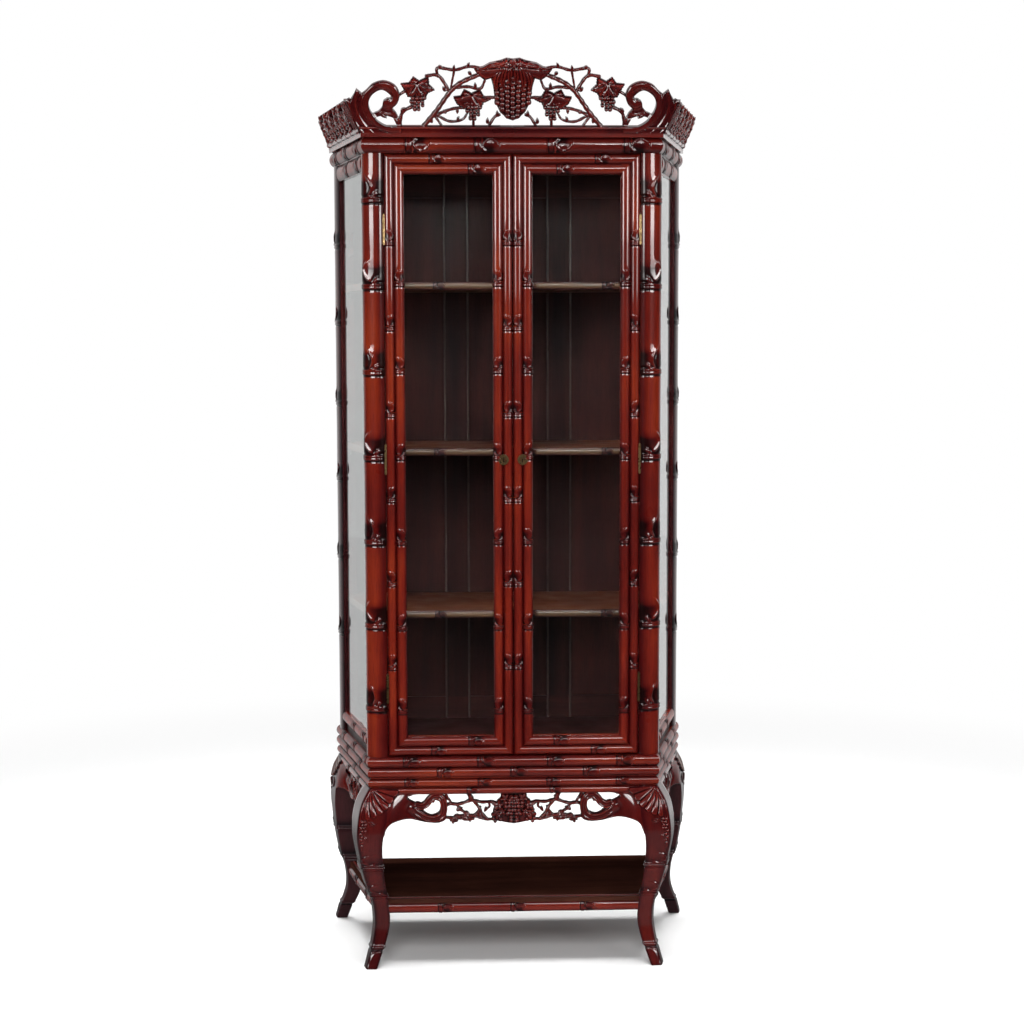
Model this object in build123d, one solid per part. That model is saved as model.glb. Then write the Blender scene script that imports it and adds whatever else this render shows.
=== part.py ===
from build123d import *
import math
import os

os.makedirs("parts", exist_ok=True)

# A glazed book cabinet of lacquered rosewood, carved like bamboo, on a stand with cabriole legs.
# The plan is a trapezium: the front is narrower than the back, and the two sides are canted.
# Millimetres. +X is to the right of someone who faces the doors, the doors face -Y, +Z is up.

# ---------- driving dimensions ----------
FRONT_WIDTH = 644.0  # across the front corners of the case
BACK_WIDTH = 820.0  # across the back corners of the case
CASE_DEPTH = 360.0  # front to back of the case
CASE_SETBACK = 17.0  # the case sits back of the origin, because the gallery leans out over the front
STAND_HEIGHT = 410.0  # floor to the top of the legs
PLINTH_RISE = 69.0  # three reeds between the stand and the doors
DOORWAY_HEIGHT = 1326.0  # top of the plinth to the underside of the cornice
CORNICE_RISE = 41.0
GALLERY_RISE = 154.0  # cornice to the top of the carved gallery

# ---------- clearances ----------
DOOR_GAP = 2.0  # between a door and what is next to it
GROOVE_PLAY = 0.2  # glass and panels in their grooves, on each face
POCKET_PLAY = 0.2  # a brass piece in its pocket
PIN_PLAY = 0.05  # hinge pin in a knuckle, on radius
KNUCKLE_PLAY = 0.3  # between neighbouring knuckles, and around them in the wood

# ---------- carcase ----------
RING_DEPTH = 45.0  # plinth and cornice rings, front to back
RING_FACE = -4.0  # flat face of a ring behind its reeds, as an offset from the case plane
REED_CROWN = 3.5  # how far a plinth reed stands out of the case plane
CORNICE_CROWN = 5.0
CORNICE_REED = 33.0
CORNICE_CAP = 6.0  # reach of the cap that carries the gallery
BOARD = 20.0  # floor and roof boards
DOOR_THICKNESS = 24.0
DOOR_CROWN = -2.0  # crown of the door reeds, as an offset from the case plane
STOP_GAP = 1.0  # a shut door to the boards behind it
FRONT_POST_WIDTH = 38.0
FRONT_POST_DEPTH = 44.0
SIDE_POST_FACE = 35.0  # how much of the canted side the front post covers
REAR_POST_FACE = 53.0
POST_FACE = -6.0  # edges of a post's half-round faces, as an offset
POST_CROWN = -1.0
FRONT_POST_SETBACK = 3.2  # the front columns' crown behind the case plane, clear of an open door
POST_THICKNESS = 34.0
BACK_INSET = 8.0  # the back lies this far inside the plinth's back
BACK_FRAME = 18.0
BACK_RAIL = 52.0
BACK_MUNTIN = 54.0
MUNTIN_PLACE = 121.0  # from the middle
PANEL = 6.0
PANEL_GROOVE = 8.0
GLASS = 3.0
GLASS_GROOVE = 7.0
SIDE_GLASS_FACE = -11.0  # outer face of the side glass, as an offset
SIDE_RAIL_THICKNESS = 18.0
SIDE_RAIL_TOP = 36.0
SIDE_RAIL_BOTTOM = 24.0

# ---------- shelves ----------
SHELF_THICKNESS = 16.0
SHELF_HEIGHTS = {"lower": 296.5, "middle": 658.0, "upper": 1022.0}  # floor board to mid-shelf
SHELF_SIDE_GAP = 3.0  # to the side glass
SHELF_LIP = 5.0  # half-round front edge
CLEAT = 14.0
CLEAT_LENGTH = 26.0

# ---------- doors ----------
DOOR_FRAME = 42.0  # width of each frame member, two reeds side by side
OUTER_REED = 20.0
REED_SEAM = 1.0
DOOR_FACE_DEPTH = 7.0  # crown of a reed to the flat behind it
HINGE_HEIGHTS = (151.0, 660.0, 1160.0)  # bottom of the door to mid-hinge
HINGE_LENGTH = 62.0
KNUCKLES = 5
KNUCKLE_RADIUS = 3.2
PIN_RADIUS = 1.5
PIN_BALL = 2.2
HINGE_AXIS_DEPTH = 7.0  # behind the case plane
LEAF = 1.5
LEAF_SPLIT = 0.2  # hinge axis to the face of each leaf
LEAF_DEPTH = 18.0
LOCK_RISE = 659.0  # bottom of the door to the key plates
LOCK_PLACE = 21.0  # key plates from the middle
KEY_PLATE_RADIUS = 11.5
KEY_PLATE_DEPTH = 9.0
KEY_DISH_RADIUS = 6.0
KEY_DISH_DEPTH = 2.0
KEYHOLE_RADIUS = 1.8
KEYHOLE_SLOT = 6.0
KEY_CHANNEL = 22.0  # how deep a key goes
LOCK_CASE = (26.0, 9.0, 60.0)  # width, depth, height
LOCK_BOLT = (20.0, 5.0, 12.0)  # length, depth, height
BOLT_THROW = 6.0
BOLT_PLAY = 0.3

# ---------- gallery ----------
GALLERY_FRONT_LEAN = 22.0  # degrees out of upright
GALLERY_SIDE_LEAN = 29.0
GALLERY_THICKNESS = 13.0
GALLERY_FOOT = 5.0  # outer face at the bottom, as an offset
GALLERY_BAND = 10.0  # plain strip along the bottom

# ---------- stand ----------
APRON_DROP = 82.0
APRON_THICKNESS = 16.0
APRON_FACE = -3.0
APRON_REED = 15.0
APRON_CROWN = 1.5
REAR_APRON_DROP = 60.0
UNDERSHELF_BOTTOM = 120.0
UNDERSHELF_RAIL = 21.0
UNDERSHELF_RAIL_WIDTH = 24.0
UNDERSHELF_FACE = -18.0
UNDERSHELF_CROWN = -14.0
UNDERSHELF_PANEL = 10.0
UNDERSHELF_BACK = 32.0
REAR_SWELL = 0.5  # the rear legs swell less than the front legs
REAR_KICK = 24.0  # how much further the rear feet reach back
LEG_TOP_WIDTH = 42.0
# Each station of a leg: height as a share of the stand, how far the corner swells out of the
# case plane, width of the leg's faces.
LEG_SHAPE = (
    (1.0, 0.0, LEG_TOP_WIDTH),
    (0.927, 20.0, 58.0),
    (0.841, 30.0, 63.0),
    (0.732, 33.0, 57.0),
    (0.61, 24.0, 49.0),
    (0.488, 12.0, 44.0),
    (0.366, -7.0, 35.0),
    (0.244, -13.0, 34.0),
    (0.146, -7.0, 31.0),
    (0.068, 4.0, 28.0),
    (0.0, 14.0, 26.0),
)

# ---------- places that follow ----------
REACH = 130.0  # how far trimming shapes run past the case
FRONT_Y = CASE_SETBACK - CASE_DEPTH / 2
BACK_Y = FRONT_Y + CASE_DEPTH
SPLAY = (BACK_WIDTH - FRONT_WIDTH) / 2
SIDE_RUN = math.hypot(SPLAY, CASE_DEPTH)
ALONG = Vector(SPLAY / SIDE_RUN, CASE_DEPTH / SIDE_RUN, 0)  # right side, front to back
OUT = Vector(ALONG.Y, -ALONG.X, 0)  # right side, outward
PLINTH_TOP = STAND_HEIGHT + PLINTH_RISE
CORNICE_BOTTOM = PLINTH_TOP + DOORWAY_HEIGHT
CORNICE_TOP = CORNICE_BOTTOM + CORNICE_RISE
FLOOR_TOP = PLINTH_TOP + BOARD
ROOF_BOTTOM = CORNICE_BOTTOM - BOARD
POST_INNER = FRONT_WIDTH / 2 - 4.0 - FRONT_POST_WIDTH
DOOR_EDGE = POST_INNER - DOOR_GAP
DOOR_BOTTOM = PLINTH_TOP + DOOR_GAP + 1.0
DOOR_TOP = CORNICE_BOTTOM - DOOR_GAP
DOOR_BACK = -DOOR_CROWN + DOOR_THICKNESS  # as a depth behind the case plane
DOOR_FLAT = -DOOR_CROWN + DOOR_FACE_DEPTH
INSIDE_FRONT = DOOR_BACK + STOP_GAP
HINGE_AXIS_X = POST_INNER - DOOR_GAP / 2
HINGE_CENTRES = [DOOR_BOTTOM + rise for rise in HINGE_HEIGHTS]
LOCK_HEIGHT = DOOR_BOTTOM + LOCK_RISE
LEG_STATIONS = [(share * STAND_HEIGHT, swell, width) for share, swell, width in LEG_SHAPE]
BACK_FRAME_REAR = BACK_Y - BACK_INSET
BACK_FRAME_FRONT = BACK_FRAME_REAR - BACK_FRAME
POST_BACK_OFFSET = POST_FACE - POST_THICKNESS
REAR_POST_START = SIDE_RUN - REAR_POST_FACE - BACK_INSET


def side_x(y, offset):
    """X of the right-hand side at a depth y, for a plane offset outward from the case."""
    return FRONT_WIDTH / 2 + (offset - OUT.Y * (y - FRONT_Y)) / OUT.X


def side_point(along, offset):
    """A point in plan, measured along the right side from the front corner and outward from it."""
    point = Vector(FRONT_WIDTH / 2, FRONT_Y, 0) + ALONG * along + OUT * offset
    return (point.X, point.Y)


def corner(offset):
    """The front right corner of the plan, offset outward on both faces."""
    return (side_x(FRONT_Y - offset, offset), FRONT_Y - offset)


def flip(points):
    """The same points on the left."""
    return [(-x, y) for x, y in reversed(points)]


def push(plane, sketch, distance):
    """A sketch drawn on a plane, made solid along the plane's normal."""
    return extrude(plane * sketch, distance, dir=plane.z_dir)


def prism(points, low, high):
    """An upright solid over a polygon in plan."""
    return push(Plane.XY.offset(low), Polygon(*points, align=None), high - low)


def slab(x0, x1, y0, y1):
    return Pos((x0 + x1) / 2, (y0 + y1) / 2) * Rectangle(x1 - x0, y1 - y0)


def reed(face, crown, low, high):
    """Half-round moulding section: it stands from a flat face out to its crown."""
    arc = ThreePointArc((face, low), (crown, (low + high) / 2), (face, high))
    return make_face(arc + Line((face, high), (face, low)))


def patch(points):
    """A face with a smooth closed outline through the points."""
    return make_face(Spline(*points, periodic=True))


def ribbon(points, width):
    """A carved stem: a smooth line of one width with round ends."""
    line = Spline(*points) if len(points) > 2 else Line(*points)
    ends = [Pos(*points[0]) * Circle(width / 2), Pos(*points[-1]) * Circle(width / 2)]
    return trace(line, width) + ends


def mirrored(shape):
    return mirror(shape, Plane.YZ)


def save(shape, name):
    solids = shape.solids()
    body = solids[0] if len(solids) == 1 else Compound(children=list(solids))
    body.label = name
    export_step(body, f"parts/{name}.step")


def save_pair(right, name):
    """A right-hand piece and its left-hand mirror image."""
    save(right, f"{name}_right")
    save(mirrored(right), f"{name}_left")


# The wedge of the plan that a front member fills, and the wedge of a right side member.
FRONT_BAY = prism(
    [corner(REACH), corner(-REACH), *flip([corner(REACH), corner(-REACH)])],
    0,
    CORNICE_TOP,
)
SIDE_BAY = prism(
    [
        corner(REACH),
        corner(-REACH),
        (side_x(BACK_Y, -REACH), BACK_Y),
        (side_x(BACK_Y, REACH), BACK_Y),
    ],
    0,
    CORNICE_TOP,
)
# Section planes: local x is outward from the case plane, local y is height.
FRONT_SECTION = Plane(
    origin=(BACK_WIDTH, FRONT_Y, 0), x_dir=(0, -1, 0), z_dir=(-1, 0, 0)
)
SIDE_START = side_point(SIDE_RUN + REACH, 0)
SIDE_SECTION = Plane(origin=(*SIDE_START, 0), x_dir=OUT, z_dir=-ALONG)


def front_run(section):
    """A front member with mitred ends."""
    return push(FRONT_SECTION, section, 2 * BACK_WIDTH) & FRONT_BAY


def side_run(section):
    """A right side member, mitred at the front corner and square to the back."""
    return push(SIDE_SECTION, section, SIDE_RUN + 3 * REACH) & SIDE_BAY


def side_block(start, end, inner, outer, low, high):
    """A straight block along the right side."""
    points = [
        side_point(start, inner),
        side_point(start, outer),
        side_point(end, outer),
        side_point(end, inner),
    ]
    return prism(points, low, high)


def between_sides(front, back, offset, low, high):
    """A cross member from side to side, its ends cut to the canted sides."""
    points = [(side_x(front, offset), front), (side_x(back, offset), back)]
    return prism(points + flip(points), low, high)


# ---------- plinth and cornice rings ----------
PLINTH_REEDS = ((2.0, 20.0, 2.5), (23.0, 45.0, REED_CROWN), (46.0, 69.0, REED_CROWN))
plinth_section = slab(-RING_DEPTH, RING_FACE, STAND_HEIGHT, PLINTH_TOP)
for low, high, crown in PLINTH_REEDS:
    plinth_section += reed(RING_FACE, crown, STAND_HEIGHT + low, STAND_HEIGHT + high)
save(front_run(plinth_section), "plinth_front")
save_pair(side_run(plinth_section), "plinth_side")
rear_rail_front = BACK_Y - BACK_INSET - RING_DEPTH / 2
save(
    between_sides(
        rear_rail_front, BACK_Y - BACK_INSET, -RING_DEPTH, STAND_HEIGHT, PLINTH_TOP
    ),
    "plinth_rear",
)

reed_top = CORNICE_BOTTOM + CORNICE_REED
cornice_section = slab(-RING_DEPTH, RING_FACE, CORNICE_BOTTOM, CORNICE_TOP)
cornice_section += reed(RING_FACE, CORNICE_CROWN, CORNICE_BOTTOM + 1.0, reed_top)
cornice_section += slab(RING_FACE, CORNICE_CAP, reed_top, CORNICE_TOP)
save(front_run(cornice_section), "cornice_front")
save_pair(side_run(cornice_section), "cornice_side")
save(
    between_sides(
        rear_rail_front, BACK_Y - BACK_INSET, -RING_DEPTH, CORNICE_BOTTOM, CORNICE_TOP
    ),
    "cornice_rear",
)

# ---------- posts ----------
front_crown_y = FRONT_Y + FRONT_POST_SETBACK
front_post_edges = Polyline(
    side_point(SIDE_POST_FACE, POST_FACE),
    side_point(SIDE_POST_FACE, POST_BACK_OFFSET),
    (POST_INNER, FRONT_Y + FRONT_POST_DEPTH),
    (POST_INNER, front_crown_y + 5.8),
)
# The column's face: tightly rounded beside the door, then a broad sweep round the case's corner.
front_post_sweep = Spline(
    (POST_INNER, front_crown_y + 5.8),
    (POST_INNER + 6.0, front_crown_y + 2.0),
    (POST_INNER + 13.5, front_crown_y),
    (POST_INNER + 21.0, front_crown_y + 1.4),
    (POST_INNER + 32.0, front_crown_y + 6.2),
    side_point(16.0, POST_CROWN - 2.5),
    side_point(26.0, POST_CROWN - 1.0),
    side_point(SIDE_POST_FACE, POST_FACE),
)
front_post_plan = make_face(front_post_edges + front_post_sweep)
post_foot = Plane.XY.offset(PLINTH_TOP)
front_post = push(post_foot, front_post_plan, DOORWAY_HEIGHT)

rear_post_back_outer = (side_x(BACK_FRAME_REAR, POST_FACE), BACK_FRAME_REAR)
rear_post_back_inner = (side_x(BACK_FRAME_REAR, POST_BACK_OFFSET), BACK_FRAME_REAR)
rear_post_edges = Polyline(
    rear_post_back_outer,
    rear_post_back_inner,
    side_point(REAR_POST_START, POST_BACK_OFFSET),
    side_point(REAR_POST_START, POST_FACE),
)
rear_post_side = ThreePointArc(
    side_point(REAR_POST_START, POST_FACE),
    side_point(REAR_POST_START + REAR_POST_FACE / 2, POST_CROWN),
    rear_post_back_outer,
)
rear_post = push(
    post_foot, make_face(rear_post_edges + rear_post_side), DOORWAY_HEIGHT
)

# ---------- side glazing ----------
side_rail_bottom_top = FLOOR_TOP + SIDE_RAIL_BOTTOM
side_rail_top_bottom = CORNICE_BOTTOM - 1.0 - SIDE_RAIL_TOP
glass_low = side_rail_bottom_top - GLASS_GROOVE
glass_high = side_rail_top_bottom + GLASS_GROOVE
groove_inner = SIDE_GLASS_FACE - GLASS - GROOVE_PLAY
groove_outer = SIDE_GLASS_FACE + GROOVE_PLAY
glass_start = SIDE_POST_FACE - GLASS_GROOVE
glass_end = REAR_POST_START + GLASS_GROOVE
side_groove = side_block(
    glass_start - GROOVE_PLAY,
    glass_end + GROOVE_PLAY,
    groove_inner,
    groove_outer,
    glass_low,
    glass_high + GROOVE_PLAY,
)
side_glass = side_block(
    glass_start,
    glass_end,
    SIDE_GLASS_FACE - GLASS,
    SIDE_GLASS_FACE,
    glass_low,
    glass_high,
)
side_rail_inner = POST_FACE - SIDE_RAIL_THICKNESS


def side_rail(low, high, reed_low, reed_high):
    section = slab(side_rail_inner, POST_FACE, low, high)
    section += reed(POST_FACE, POST_CROWN, reed_low, reed_high)
    start = side_point(REAR_POST_START, 0)
    plane = Plane(origin=(*start, 0), x_dir=OUT, z_dir=-ALONG)
    return push(plane, section, REAR_POST_START - SIDE_POST_FACE)


side_rail_bottom = side_rail(
    FLOOR_TOP, side_rail_bottom_top, FLOOR_TOP, side_rail_bottom_top
)
side_rail_top = side_rail(
    side_rail_top_bottom, CORNICE_BOTTOM, side_rail_top_bottom, CORNICE_BOTTOM - 1.0
)
save_pair(side_rail_bottom - side_groove, "side_rail_bottom")
save_pair(side_rail_top - side_groove, "side_rail_top")
save_pair(side_glass, "side_glass")

# ---------- back: frame and panels ----------
panel_front = BACK_FRAME_REAR - (BACK_FRAME + PANEL) / 2
panel_back = panel_front + PANEL
back_low = FLOOR_TOP
back_high = ROOF_BOTTOM
opening_low = back_low + BACK_RAIL
opening_high = back_high - BACK_RAIL
panel_grooves = between_sides(
    panel_front - GROOVE_PLAY,
    panel_back + GROOVE_PLAY,
    POST_BACK_OFFSET + PANEL_GROOVE,
    opening_low - PANEL_GROOVE,
    opening_high + PANEL_GROOVE,
)


def back_rail(low, high):
    frame = between_sides(
        BACK_FRAME_FRONT, BACK_FRAME_REAR, POST_BACK_OFFSET, low, high
    )
    return frame - panel_grooves


back_rails = [back_rail(back_low, opening_low), back_rail(opening_high, back_high)]
save(Part() + back_rails, "back_rails")
muntin = prism(
    [
        (MUNTIN_PLACE - BACK_MUNTIN / 2, BACK_FRAME_FRONT),
        (MUNTIN_PLACE + BACK_MUNTIN / 2, BACK_FRAME_FRONT),
        (MUNTIN_PLACE + BACK_MUNTIN / 2, BACK_FRAME_REAR),
        (MUNTIN_PLACE - BACK_MUNTIN / 2, BACK_FRAME_REAR),
    ],
    opening_low,
    opening_high,
)
muntin_web = prism(
    [
        (MUNTIN_PLACE - BACK_MUNTIN / 2 + PANEL_GROOVE, BACK_FRAME_FRONT),
        (MUNTIN_PLACE + BACK_MUNTIN / 2 - PANEL_GROOVE, BACK_FRAME_FRONT),
        (MUNTIN_PLACE + BACK_MUNTIN / 2 - PANEL_GROOVE, BACK_FRAME_REAR),
        (MUNTIN_PLACE - BACK_MUNTIN / 2 + PANEL_GROOVE, BACK_FRAME_REAR),
    ],
    opening_low,
    opening_high,
)
muntin = (muntin - panel_grooves) + muntin_web
save(muntin + mirrored(muntin), "back_muntins")
panel_low = opening_low - PANEL_GROOVE + GROOVE_PLAY
panel_high = opening_high + PANEL_GROOVE - GROOVE_PLAY
web_edge = BACK_MUNTIN / 2 - PANEL_GROOVE + GROOVE_PLAY
side_panel_offset = POST_BACK_OFFSET + PANEL_GROOVE - GROOVE_PLAY
outer_panel = prism(
    [
        (MUNTIN_PLACE + web_edge, panel_front),
        (side_x(panel_front, side_panel_offset), panel_front),
        (side_x(panel_back, side_panel_offset), panel_back),
        (MUNTIN_PLACE + web_edge, panel_back),
    ],
    panel_low,
    panel_high,
)
middle_panel = prism(
    [
        (MUNTIN_PLACE - web_edge, panel_front),
        (MUNTIN_PLACE - web_edge, panel_back),
        (web_edge - MUNTIN_PLACE, panel_back),
        (web_edge - MUNTIN_PLACE, panel_front),
    ],
    panel_low,
    panel_high,
)
save(outer_panel + middle_panel + mirrored(outer_panel), "back_panels")

# ---------- floor and roof boards ----------
board_back = BACK_FRAME_REAR


def case_board(low, high, offset):
    """A board across the case, cut around the posts."""
    board = between_sides(FRONT_Y + INSIDE_FRONT, board_back, offset, low, high)
    board -= front_post
    board -= rear_post
    board -= mirrored(front_post)
    return board - mirrored(rear_post)


save(case_board(PLINTH_TOP, FLOOR_TOP, POST_FACE - 4.0), "floor_board")
save(case_board(ROOF_BOTTOM, CORNICE_BOTTOM, side_rail_inner), "roof_board")

# ---------- shelves and their cleats ----------
shelf_offset = SIDE_GLASS_FACE - GLASS - SHELF_SIDE_GAP
shelf_front = FRONT_Y + INSIDE_FRONT + SHELF_LIP
shelf_back = BACK_FRAME_FRONT - 1.0
front_post_room = prism(
    [
        (POST_INNER - 1.0, FRONT_Y),
        (POST_INNER - 1.0, FRONT_Y + FRONT_POST_DEPTH + 1.0),
        side_point(SIDE_POST_FACE + 1.0, POST_BACK_OFFSET - 1.0),
        side_point(SIDE_POST_FACE + 1.0, 0),
        side_point(0, 0),
    ],
    FLOOR_TOP,
    ROOF_BOTTOM,
)
rear_post_room = side_block(
    REAR_POST_START - 1.0,
    SIDE_RUN + REACH,
    POST_BACK_OFFSET - 1.0,
    0,
    FLOOR_TOP,
    ROOF_BOTTOM,
)
cleats = Part()
for level, rise in SHELF_HEIGHTS.items():
    low = FLOOR_TOP + rise - SHELF_THICKNESS / 2
    high = low + SHELF_THICKNESS
    shelf = between_sides(shelf_front, shelf_back, shelf_offset, low, high)
    lip_plane = Plane(
        origin=(POST_INNER - 1.0, shelf_front, 0), x_dir=(0, -1, 0), z_dir=(-1, 0, 0)
    )
    lip = push(
        lip_plane, reed(-1.0, SHELF_LIP - 0.5, low, high), 2 * (POST_INNER - 1.0)
    )
    shelf = (
        shelf - front_post_room - rear_post_room - mirrored(front_post_room)
    ) - mirrored(rear_post_room)
    save(shelf + lip, f"shelf_{level}")
    front_cleat = side_block(
        SIDE_POST_FACE,
        SIDE_POST_FACE + CLEAT_LENGTH,
        POST_BACK_OFFSET,
        POST_BACK_OFFSET + CLEAT,
        low - CLEAT,
        low,
    )
    rear_cleat = side_block(
        REAR_POST_START - CLEAT_LENGTH,
        REAR_POST_START,
        POST_BACK_OFFSET,
        POST_BACK_OFFSET + CLEAT,
        low - CLEAT,
        low,
    )
    for cleat in (front_cleat, rear_cleat):
        cleats += cleat
        cleats += mirrored(cleat)
save(cleats, "shelf_cleats")

# ---------- hinges ----------
hinge_y = FRONT_Y + HINGE_AXIS_DEPTH
knuckle_length = HINGE_LENGTH / KNUCKLES


def hinge_rod(radius, low, high):
    return push(Plane((HINGE_AXIS_X, hinge_y, low)), Circle(radius), high - low)


def hinge_half(centre, first, side):
    """One leaf with its knuckles: every second one, from the first. side is +1 towards the post."""
    bottom = centre - HINGE_LENGTH / 2
    face = HINGE_AXIS_X + side * LEAF_SPLIT
    back = face + side * LEAF
    leaf_front = hinge_y + KNUCKLE_RADIUS + KNUCKLE_PLAY
    leaf_plan = slab(
        min(face, back), max(face, back), leaf_front, hinge_y + LEAF_DEPTH
    )
    half = push(Plane.XY.offset(bottom), leaf_plan, HINGE_LENGTH)
    for index in range(first, KNUCKLES, 2):
        low = bottom + index * knuckle_length + KNUCKLE_PLAY / 2
        high = low + knuckle_length - KNUCKLE_PLAY
        lug_plan = slab(min(face, back), max(face, back), hinge_y, leaf_front)
        half += hinge_rod(KNUCKLE_RADIUS, low, high)
        half += push(Plane.XY.offset(low), lug_plan, high - low)
    return half - hinge_rod(PIN_RADIUS + PIN_PLAY, bottom, bottom + HINGE_LENGTH)


def hinge_pin(centre):
    bottom = centre - HINGE_LENGTH / 2
    top = centre + HINGE_LENGTH / 2
    pin = hinge_rod(PIN_RADIUS, bottom, top)
    pin += hinge_rod(PIN_BALL, bottom - PIN_BALL, bottom)
    return pin + hinge_rod(PIN_BALL, top, top + PIN_BALL)


def hinge_pocket(centre, side):
    """Room in the wood for one leaf and for the knuckles."""
    bottom = centre - HINGE_LENGTH / 2 - POCKET_PLAY
    top = centre + HINGE_LENGTH / 2 + POCKET_PLAY
    back = HINGE_AXIS_X + side * (LEAF_SPLIT + LEAF)
    plan = slab(
        min(HINGE_AXIS_X, back),
        max(HINGE_AXIS_X, back),
        hinge_y,
        hinge_y + LEAF_DEPTH + POCKET_PLAY,
    )
    pocket = push(Plane.XY.offset(bottom), plan, top - bottom)
    room = KNUCKLE_RADIUS + KNUCKLE_PLAY
    return pocket + hinge_rod(room, bottom - PIN_BALL - 1.0, top + PIN_BALL + 1.0)


case_leaves = [hinge_half(centre, 0, 1) for centre in HINGE_CENTRES]
door_leaves = [hinge_half(centre, 1, -1) for centre in HINGE_CENTRES]
pins = [hinge_pin(centre) for centre in HINGE_CENTRES]
right_case_leaves = Part() + case_leaves + pins
save(right_case_leaves + mirrored(right_case_leaves), "hinge_case_leaves_and_pins")
save_pair(Part() + door_leaves, "hinge_leaves_door")

for centre in HINGE_CENTRES:
    front_post -= hinge_pocket(centre, 1)
front_post -= side_groove
rear_post -= side_groove
rear_post -= panel_grooves
save_pair(front_post, "front_post")
save_pair(rear_post, "rear_post")

# ---------- doors ----------
glass_face = (DOOR_FLAT + DOOR_BACK - GLASS) / 2
meeting_edge = DOOR_GAP / 2
door_outer = (meeting_edge, DOOR_EDGE, DOOR_BOTTOM, DOOR_TOP)


def door_member_section(width):
    """Section of a frame member: local x runs from the door's rim inward, local y is outward."""
    section = slab(0, width, -DOOR_BACK, -DOOR_FLAT)
    for low, high in ((0, OUTER_REED), (OUTER_REED + REED_SEAM, width)):
        crown = (low + high) / 2
        arc = ThreePointArc((low, -DOOR_FLAT), (crown, DOOR_CROWN), (high, -DOOR_FLAT))
        section += make_face(arc + Line((high, -DOOR_FLAT), (low, -DOOR_FLAT)))
    groove = slab(
        width - GLASS_GROOVE,
        width,
        -glass_face - GLASS - GROOVE_PLAY,
        -glass_face + GROOVE_PLAY,
    )
    return section - groove


def mitred(member, points):
    """Keeps what lies within an outline in the plane of the door."""
    outline = make_face(Polyline(*points, close=True))
    front = Plane(
        origin=(0, FRONT_Y - REACH, 0), x_dir=(1, 0, 0), z_dir=(0, -1, 0)
    )
    return member & push(front, outline, -2 * REACH)


x0, x1, z0, z1 = door_outer
inner = (x0 + DOOR_FRAME, x1 - DOOR_FRAME, z0 + DOOR_FRAME, z1 - DOOR_FRAME)
u0, u1, w0, w1 = inner
frame_section = door_member_section(DOOR_FRAME)
door_height = z1 - z0
door_width = x1 - x0
lock_plane = Plane(origin=(x0, FRONT_Y, z0), x_dir=(1, 0, 0), z_dir=(0, 0, 1))
hinge_plane = Plane(origin=(x1, FRONT_Y, z1), x_dir=(-1, 0, 0), z_dir=(0, 0, -1))
bottom_plane = Plane(origin=(x1, FRONT_Y, z0), x_dir=(0, 0, 1), z_dir=(-1, 0, 0))
top_plane = Plane(origin=(x0, FRONT_Y, z1), x_dir=(0, 0, -1), z_dir=(1, 0, 0))


def frame_member(plane, length, points):
    """The section's local y must point out of the front, so each plane is set that way."""
    outward = plane.y_dir.Y < 0
    section = frame_section if outward else mirror(frame_section, Plane.XZ)
    return mitred(push(plane, section, length), points)


lock_stile = frame_member(
    lock_plane, door_height, [(x0, z0), (u0, w0), (u0, w1), (x0, z1)]
)
hinge_stile = frame_member(
    hinge_plane, door_height, [(x1, z0), (x1, z1), (u1, w1), (u1, w0)]
)
door_rail_bottom = frame_member(
    bottom_plane, door_width, [(x0, z0), (x1, z0), (u1, w0), (u0, w0)]
)
door_rail_top = frame_member(
    top_plane, door_width, [(x0, z1), (u0, w1), (u1, w1), (x1, z1)]
)
for centre in HINGE_CENTRES:
    hinge_stile -= hinge_pocket(centre, -1)

glass_tuck = GLASS_GROOVE - GROOVE_PLAY
door_glass = prism(
    [
        (u0 - glass_tuck, FRONT_Y + glass_face),
        (u1 + glass_tuck, FRONT_Y + glass_face),
        (u1 + glass_tuck, FRONT_Y + glass_face + GLASS),
        (u0 - glass_tuck, FRONT_Y + glass_face + GLASS),
    ],
    w0 - glass_tuck,
    w1 + glass_tuck,
)

# ---------- key plates and lock ----------
key_plane = Plane(
    origin=(LOCK_PLACE, FRONT_Y - DOOR_CROWN - 1.0, LOCK_HEIGHT),
    x_dir=(1, 0, 0),
    z_dir=(0, -1, 0),
)
key_seat = push(key_plane, Circle(KEY_PLATE_RADIUS), -KEY_PLATE_DEPTH)
keyhole = Circle(KEYHOLE_RADIUS) + slab(
    -KEYHOLE_RADIUS / 2, KEYHOLE_RADIUS / 2, -KEYHOLE_SLOT, 0
)
key_plate = key_seat - push(key_plane, Circle(KEY_DISH_RADIUS), -KEY_DISH_DEPTH)
key_channel = push(key_plane, keyhole, -KEY_CHANNEL)
key_plate -= key_channel
lock_width, lock_depth, lock_height = LOCK_CASE
bolt_length, bolt_depth, bolt_height = LOCK_BOLT
lock_front = FRONT_Y + DOOR_BACK - lock_depth
bolt_front = lock_front + (lock_depth - bolt_depth) / 2


def lock_block(start, end, front, depth, height, play):
    """A block in the lock, from one distance off the middle to another."""
    plan = slab(start, end, front - play, front + depth + play)
    low = LOCK_HEIGHT - height / 2 - play
    return push(Plane.XY.offset(low), plan, height + 2 * play)


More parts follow.
